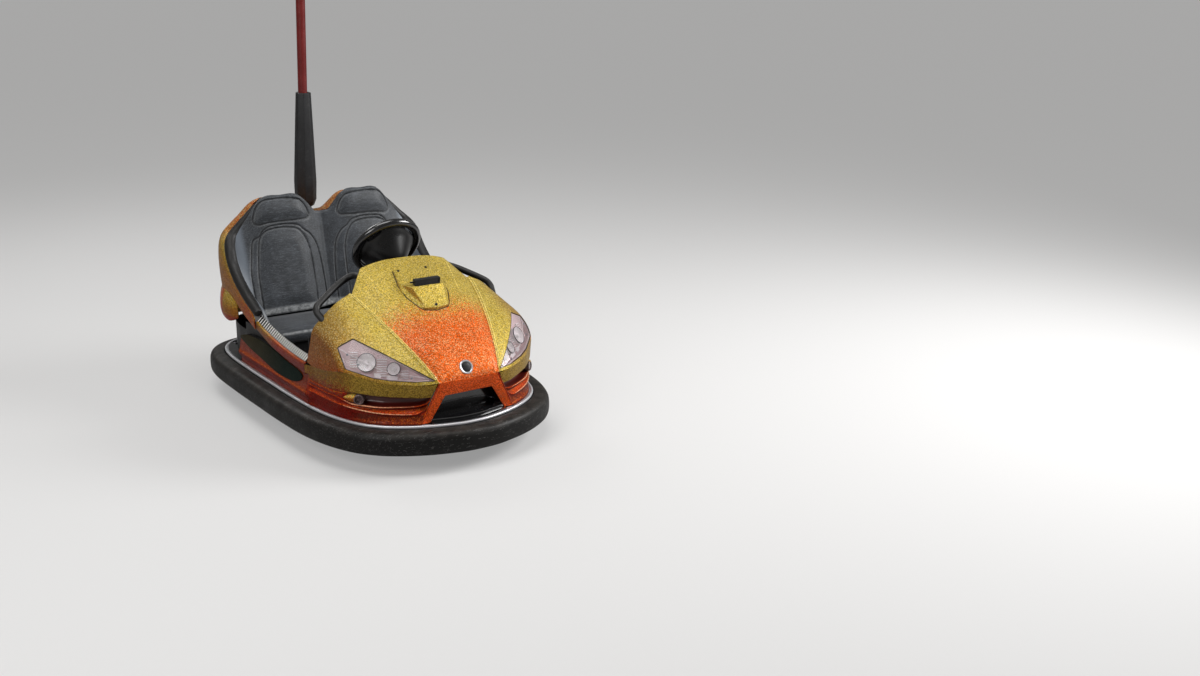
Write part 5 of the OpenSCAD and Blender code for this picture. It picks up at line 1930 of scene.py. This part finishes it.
@dataclass
class Seats:
    """Double seat back with head rests and wings, and the bench under it."""

    thick: float = 16.0
    groove_width: float = 3.6
    groove_depth: float = 5.6

    def relief(self, x: Points, z: Points) -> tuple[Points, Points, Points]:
        """Works out the sewn channels and the crowned panels of the seat back.

        Args:
            x: Place of each point across the front face, in millimetres.
            z: Its height.

        Returns:
            Height over the plain face, how deep in a channel each point lies, and how near the painted highlight
            beside a seam.
        """
        q = np.column_stack([-np.abs(x), z])
        w = self.groove_width
        depth = np.zeros(len(q))
        for line, closed in ((HEAD_PANEL, True), (BACK_OUTER, False), (BACK_INNER, False)):
            smooth = spline(line, 4, closed=closed)
            depth = np.maximum(depth, np.exp(-(distance_to(q, smooth, closed) / w) ** 2))
        head_d = distance_to(q, HEAD_PANEL, True) * np.where(inside(q, HEAD_PANEL), 1, 0)
        back_d = distance_to(q, BACK_INNER, True) * np.where(inside(q, BACK_INNER), 1, 0)
        rise = 7.0 * ramp(head_d, 0, 46) + 6.0 * ramp(back_d, 0, 60)
        middle = np.exp(-(np.abs(x) / 13.0) ** 2) * ramp(-z, -850, -800)
        # Painted highlight in a band just outside each seam's channel.
        light = np.exp(-((np.sqrt(-np.log(np.maximum(depth, 1e-9))) * w - 6.4) / 1.9) ** 2)
        return rise - self.groove_depth * depth - 5.0 * middle, depth, light

    def build_back(self) -> None:
        """Makes the double back, its front face in relief and its rim rolled over."""
        cols = bezier_grid(SEAT_COLUMNS, 150)
        rear = full_spline(cols, 16, (1,), 0.6)
        n = normals(rear)
        c, r = rear.shape[:2]
        across = np.concatenate([[0], np.cumsum(np.linalg.norm(np.diff(rear[:, r // 2], axis=0), axis=1))])
        rim = np.minimum(across, across[-1] - across)[:, None] * np.ones((1, r))
        along = np.concatenate([np.zeros((c, 1)), np.cumsum(np.linalg.norm(np.diff(rear, axis=1), axis=2), axis=1)],
                               axis=1)
        rim = np.minimum(rim, np.minimum(along, along[:, -1:] - along))
        roll = np.clip(rim / 13.0, 0, 1)
        lift = self.thick * np.sqrt(np.clip(1 - (1 - roll) ** 2, 0, 1))
        front = rear + n * (0.35 * self.thick + 0.65 * lift)[..., None]
        high = self.relief(front[..., 0].ravel(), front[..., 2].ravel())[0]
        fadeout = ramp(rim, 4, 22)
        front = front + n * (high.reshape(c, r) * fadeout)[..., None]
        back = Shape().shell(rear, front).raw("seat_back_skin")
        # Painted shade in the sewn channels.
        write_weight(back, "channel_shade", lambda x, y, z: 0.97 * self.relief(x, z)[1] ** 1.4)
        # The wings are painted lighter, as painted light.
        write_weight(back, "wing_painted_light", lambda x, y, z: 0.75 * ramp(np.abs(x), 398, 430))
        edge_line = np.array([[p[0], p[2]] for p in front[-1]])
        # Light edge: wear along the outer edge and at the foot, and a painted highlight beside the seams.
        write_weight(back, "edge", lambda x, y, z: ramp(-distance_to(
            np.column_stack([np.abs(x), z]), edge_line), -7, -2)
                     + 0.6 * ramp(-z, -430, -418) * ramp(-np.abs(x), -420, -380)
                     + 0.13 * self.relief(x, z)[2])
        dress(back, SEAT_SKIN, ["seat_back"], 60)

    def build_cushion(self) -> None:
        """Makes the bench: two crowned places with a channel between them and a rolled front."""
        profile = round_off(np.array([[166, 331], [150, 333], [143, 345], [142, 366], [149, 381], [166, 388],
                                      [210, 388], [330, 386], [468, 385], [472, 378], [472, 332], [400, 330]]), 3)
        xs = np.concatenate([[-418, -417, -414, -409], np.linspace(-402, 402, 150), [409, 414, 417, 418]])
        mid = np.array([310, 356])
        rings = []
        for x in xs:
            e = np.clip((418 - abs(x)) / 14, 0, 1)
            k = 0.86 + 0.14 * math.sqrt(max(0.0, 1 - (1 - e) ** 2))
            ring = mid + (profile - mid) * np.array([1 - (1 - k) * 0.35, k])
            rings.append(np.column_stack([np.full(len(ring), x), ring]))
        g = np.array(rings)
        p = g.reshape(-1, 3)
        top = ramp(p[:, 2], 366, 380)
        place = np.abs(np.abs(p[:, 0]) - 214)
        crown = (11 * (1 - np.clip(place / 200, 0, 1) ** 2.4) * top * ramp(p[:, 1], 150, 230)
                 * ramp(-p[:, 1], -462, -380))
        seam = np.abs(p[:, 1] - 196) + 100 * (place > 196)
        channel = np.maximum(np.exp(-(np.abs(p[:, 0]) / 6.0) ** 2), np.exp(-(seam / 3.2) ** 2))
        p[:, 2] += crown - 4.0 * channel * top
        bench = Shape().loft(p.reshape(g.shape)).raw("seat_cushion_skin")
        # Painted shade in the channel down the middle of the bench.
        write_weight(bench, "channel_shade", lambda x, y, z: 0.8 * np.exp(-(x / 5.0) ** 2) * ramp(z, 368, 380))
        write_weight(bench, "edge", lambda x, y, z: 0.7 * ramp(-np.abs(y - 152), -9, -2)
                     * ramp(z, 370, 380))
        dress(bench, SEAT_SKIN, ["seat_cushion"], 60)

    def build(self) -> None:
        """Makes back and bench."""
        self.build_back()
        self.build_cushion()


@dataclass
class Cockpit:
    """Edge rolls and grab handles."""

    def build(self) -> None:
        """Makes the rolls and the handles on both sides."""
        path = spline(ROLL_PATH, 8)
        rolls = Shape().tube(path[:, :3], path[:, 3], 28).mirror()
        dress(rolls.raw("edge_roll_pads"), ROLL_BLACK, ["edge_rolls"], 50)
        bar = spline(HANDLE_PATH, 8)
        for side, node in ((1, "grab_handle_l"), (-1, "grab_handle_r")):
            handle = Shape().tube(bar[:, :3] * np.array([side, 1, 1]), bar[:, 3] + 1.8, 24)
            dress(handle.raw(node + "_bar"), ROLL_BLACK, [node], 50)


@dataclass
class SteeringWheel:
    """Steering wheel with a slotted dish and a cone."""

    hub: tuple[float, float, float] = (0.0, -95.0, 793.0)
    slope: float = 35.0
    radius: float = 166.0
    rim: float = 19.0

    def build(self) -> None:
        """Makes the rim and the dish."""
        axes = turned_frame(self.hub, self.slope - 90)
        a = np.arange(128) * 2 * math.pi / 128
        mid = self.radius - self.rim
        circle = placed(np.column_stack([mid * np.cos(a), mid * np.sin(a), 0 * a]), axes)
        rim = Shape().closed_tube(circle, self.rim, 28).raw("steering_rim")
        dress(rim, GLOSS_BLACK, ["steering_wheel"], 60, body=Body.STEERING)
        inner = self.radius - 2 * self.rim + 2
        dish = Shape().lathe([
            (0, -6), (108, -6), (inner - 2, -2), (inner, -4), (inner, -11), (inner - 2, -12.5), (124, -19), (112, -28),
            (101, -42), (90, -56), (74, -76), (58, -96), (48, -107), (38, -116), (17.05, -116), (17.05, -111),
            (34, -110), (54, -86), (82, -50), (92, -18), (0, -16)], axes, 96).raw("steering_dish")
        for k in range(4):
            tool = Shape()
            turn = axes @ Matrix.Rotation(math.radians(45 + 90 * k), 4, "Z")
            tool.prism(round_corners([[inner - 9, -40], [inner + 11, -40], [inner + 11, 40], [inner - 9, 40]], 4),
                       -40, 20, turn)
            cut(dish, tool.raw("slot_tool"))
        dress(dish, DISH_BLACK, body=Body.STEERING)


@dataclass
class CurrentPole:
    """Boot over the foot of the current pole, and the painted tube."""

    foot: tuple[float, float, float] = (0.0, 790.0, 640.0)
    lean: float = 3.4
    radius: float = 22.0
    height: float = 2700.0

    def build(self) -> None:
        """Makes the boot and the tube."""
        axes = turned_frame(self.foot, self.lean)
        rings = []
        for z, rx, ry in ((205, 38, 34), (238, 50, 46), (330, 52, 47), (560, 43, 41), (770, 34, 35)):
            a = np.radians(np.arange(22.5, 360, 45))
            c = math.cos(math.radians(22.5))
            rings.append(np.column_stack([3 + rx * np.cos(a) / c, ry * np.sin(a) / c, np.full(8, float(z))]))
        boot = Shape().loft(placed(np.array(rings), axes)).raw("pole_boot_shell")
        dress(bevel(boot, 3.0, 3, 20), MATT_BLACK, ["pole_boot"])
        length = (self.height - self.foot[2] - 45) / math.cos(math.radians(self.lean))
        tube = Shape()
        r = self.radius
        tube.lathe([(0, -200), (r + 1, -200), (r + 2, -199), (r + 2, 738), (r + 1, 740), (r, 741), (r, length - 2),
                    (r - 2, length), (0, length)], axes, 48)
        dress(tube.raw("pole_tube_paint"), POLE_RED, ["pole_tube"], 40, body=Body.POLE)


# ---------------- CAD pieces that stay, and the scene

PLAIN_PIECES: dict[str, Finish] = {
    "chassis_frame": FRAME_PAINT, "rear_brackets": FRAME_PAINT, "drive_fork": FRAME_PAINT, "pole_base": FRAME_PAINT,
    "rear_wheel_r": WHEEL_RUBBER, "rear_wheel_l": WHEEL_RUBBER, "drive_tyre": WHEEL_RUBBER, "drive_hub": STEEL,
    "drive_motor": MOTOR_PAINT, "rear_skirt": MATT_BLACK, "seat_base": MATT_BLACK,
    "cockpit_liner": MATT_BLACK, "footwell_mat": MAT_RUBBER, "toe_board": MATT_BLACK, "dash_panel": MATT_BLACK,
    "pedal": STEEL, "steering_column": STEEL, "contact_shoe": BRASS,
}


def dress_plain_pieces(nodes: dict) -> None:
    """Gives the CAD pieces that stay their finishes.

    Args:
        nodes: The frame's pieces, by name.
    """
    for name, coat in PLAIN_PIECES.items():
        piece = nodes[name]
        if not piece.material_slots:
            piece.data.materials.append(coat.material())
        for place in piece.material_slots:
            place.material = coat.material()
        LOG.info("%s: painted as %s", name, coat.name)


@dataclass
class Studio:
    """Camera, pale floor and plain soft light."""

    place: tuple[float, float, float] = (-2.636, -5.278, 2.032)
    yaw: float = 36.60
    pitch: float = 16.13
    roll: float = 0.86
    lens: float = 38.76
    floor_reach: float = 120000.0

    def camera(self) -> None:
        """Makes the camera at the photograph's angle."""
        yaw, pitch, roll = (math.radians(a) for a in (self.yaw, self.pitch, self.roll))
        d = Vector((math.sin(yaw) * math.cos(pitch), math.cos(yaw) * math.cos(pitch), -math.sin(pitch)))
        r = Vector((math.cos(yaw), -math.sin(yaw), 0.0))
        u = r.cross(d)
        right = math.cos(roll) * r + math.sin(roll) * u
        up = -math.sin(roll) * r + math.cos(roll) * u
        data = bpy.data.cameras.new("camera")
        data.lens = self.lens
        data.sensor_width = 36.0
        data.sensor_fit = "HORIZONTAL"
        data.clip_end = 500.0
        cam = add_object("camera", data)
        m = Matrix((right, up, -d)).transposed().to_4x4()
        m.translation = Vector(self.place)
        cam.matrix_world = m
        bpy.context.scene.camera = cam

    def floor(self) -> None:
        """Makes the pale floor."""
        e = self.floor_reach
        floor = mesh_object("floor", [(-e, -e, 0), (e, -e, 0), (e, e, 0), (-e, e, 0)], [], [(0, 1, 2, 3)])
        box = Paintbox("floor_pale")
        seen = box.times(box.new("ShaderNodeLightPath").outputs["Is Camera Ray"], 0.3)
        box.set(Base_Color=(0.45, 0.445, 0.44), Roughness=0.8, Emission_Color=(1.0, 1.0, 1.0), Emission_Strength=seen)
        floor.data.materials.append(box.mat)

    def light(self) -> None:
        """Makes the lamps and the world."""
        scene = bpy.context.scene
        scene.view_settings.view_transform = "Standard"
        world = bpy.data.worlds.new("world")
        world.use_nodes = True
        sky = Nodes(world.node_tree)
        sky.tree.nodes.clear()
        soft = sky.step("ShaderNodeBackground", {"Color": (1.0, 0.98, 0.95), "Strength": 0.18}).outputs[0]
        pale = sky.step("ShaderNodeBackground", {"Color": (0.39, 0.39, 0.39), "Strength": 1.0}).outputs[0]
        seen = sky.new("ShaderNodeLightPath").outputs["Is Camera Ray"]
        mix = sky.step("ShaderNodeMixShader", {"Fac": seen, 1: soft, 2: pale}).outputs[0]
        sky.step("ShaderNodeOutputWorld", {"Surface": mix})
        scene.world = world
        for name, spot, aim, size, power in (("key", (4.2, -2.4, 3.2), (0, -0.2, 0.5), 2.6, 230.0),
                                             ("top", (-0.6, -0.8, 5.2), (0, 0, 0.5), 3.4, 95.0),
                                             ("fill", (-4.2, -2.0, 3.2), (0, 0, 0.6), 2.6, 75.0),
                                             ("back", (-0.6, 4.2, 4.2), (0, 0.2, 0.6), 2.4, 60.0)):
            data = bpy.data.lights.new(name, "AREA")
            data.shape = "RECTANGLE"
            data.size = size
            data.size_y = size * 0.7
            data.energy = power
            lamp = add_object(name, data)
            lamp.matrix_world = (Matrix.Translation(Vector(spot))
                                 @ (Vector(spot) - Vector(aim)).to_track_quat("Z", "Y").to_matrix().to_4x4())

    def build(self) -> None:
        """Makes camera, floor and light."""
        self.camera()
        self.floor()
        self.light()


def main() -> None:
    """Builds and dresses the whole car."""
    logging.basicConfig(level=logging.INFO, format="%(message)s")
    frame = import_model()
    dress_plain_pieces(frame["nodes"])
    scatter = Scatter("small_part_scatter")
    Bumper().build(scatter)
    FrontBody().build(scatter)
    Sides().build()
    Tail().build()
    Seats().build()
    Cockpit().build()
    SteeringWheel().build()
    CurrentPole().build()
    Studio().build()


if __name__ == "__main__":
    main()
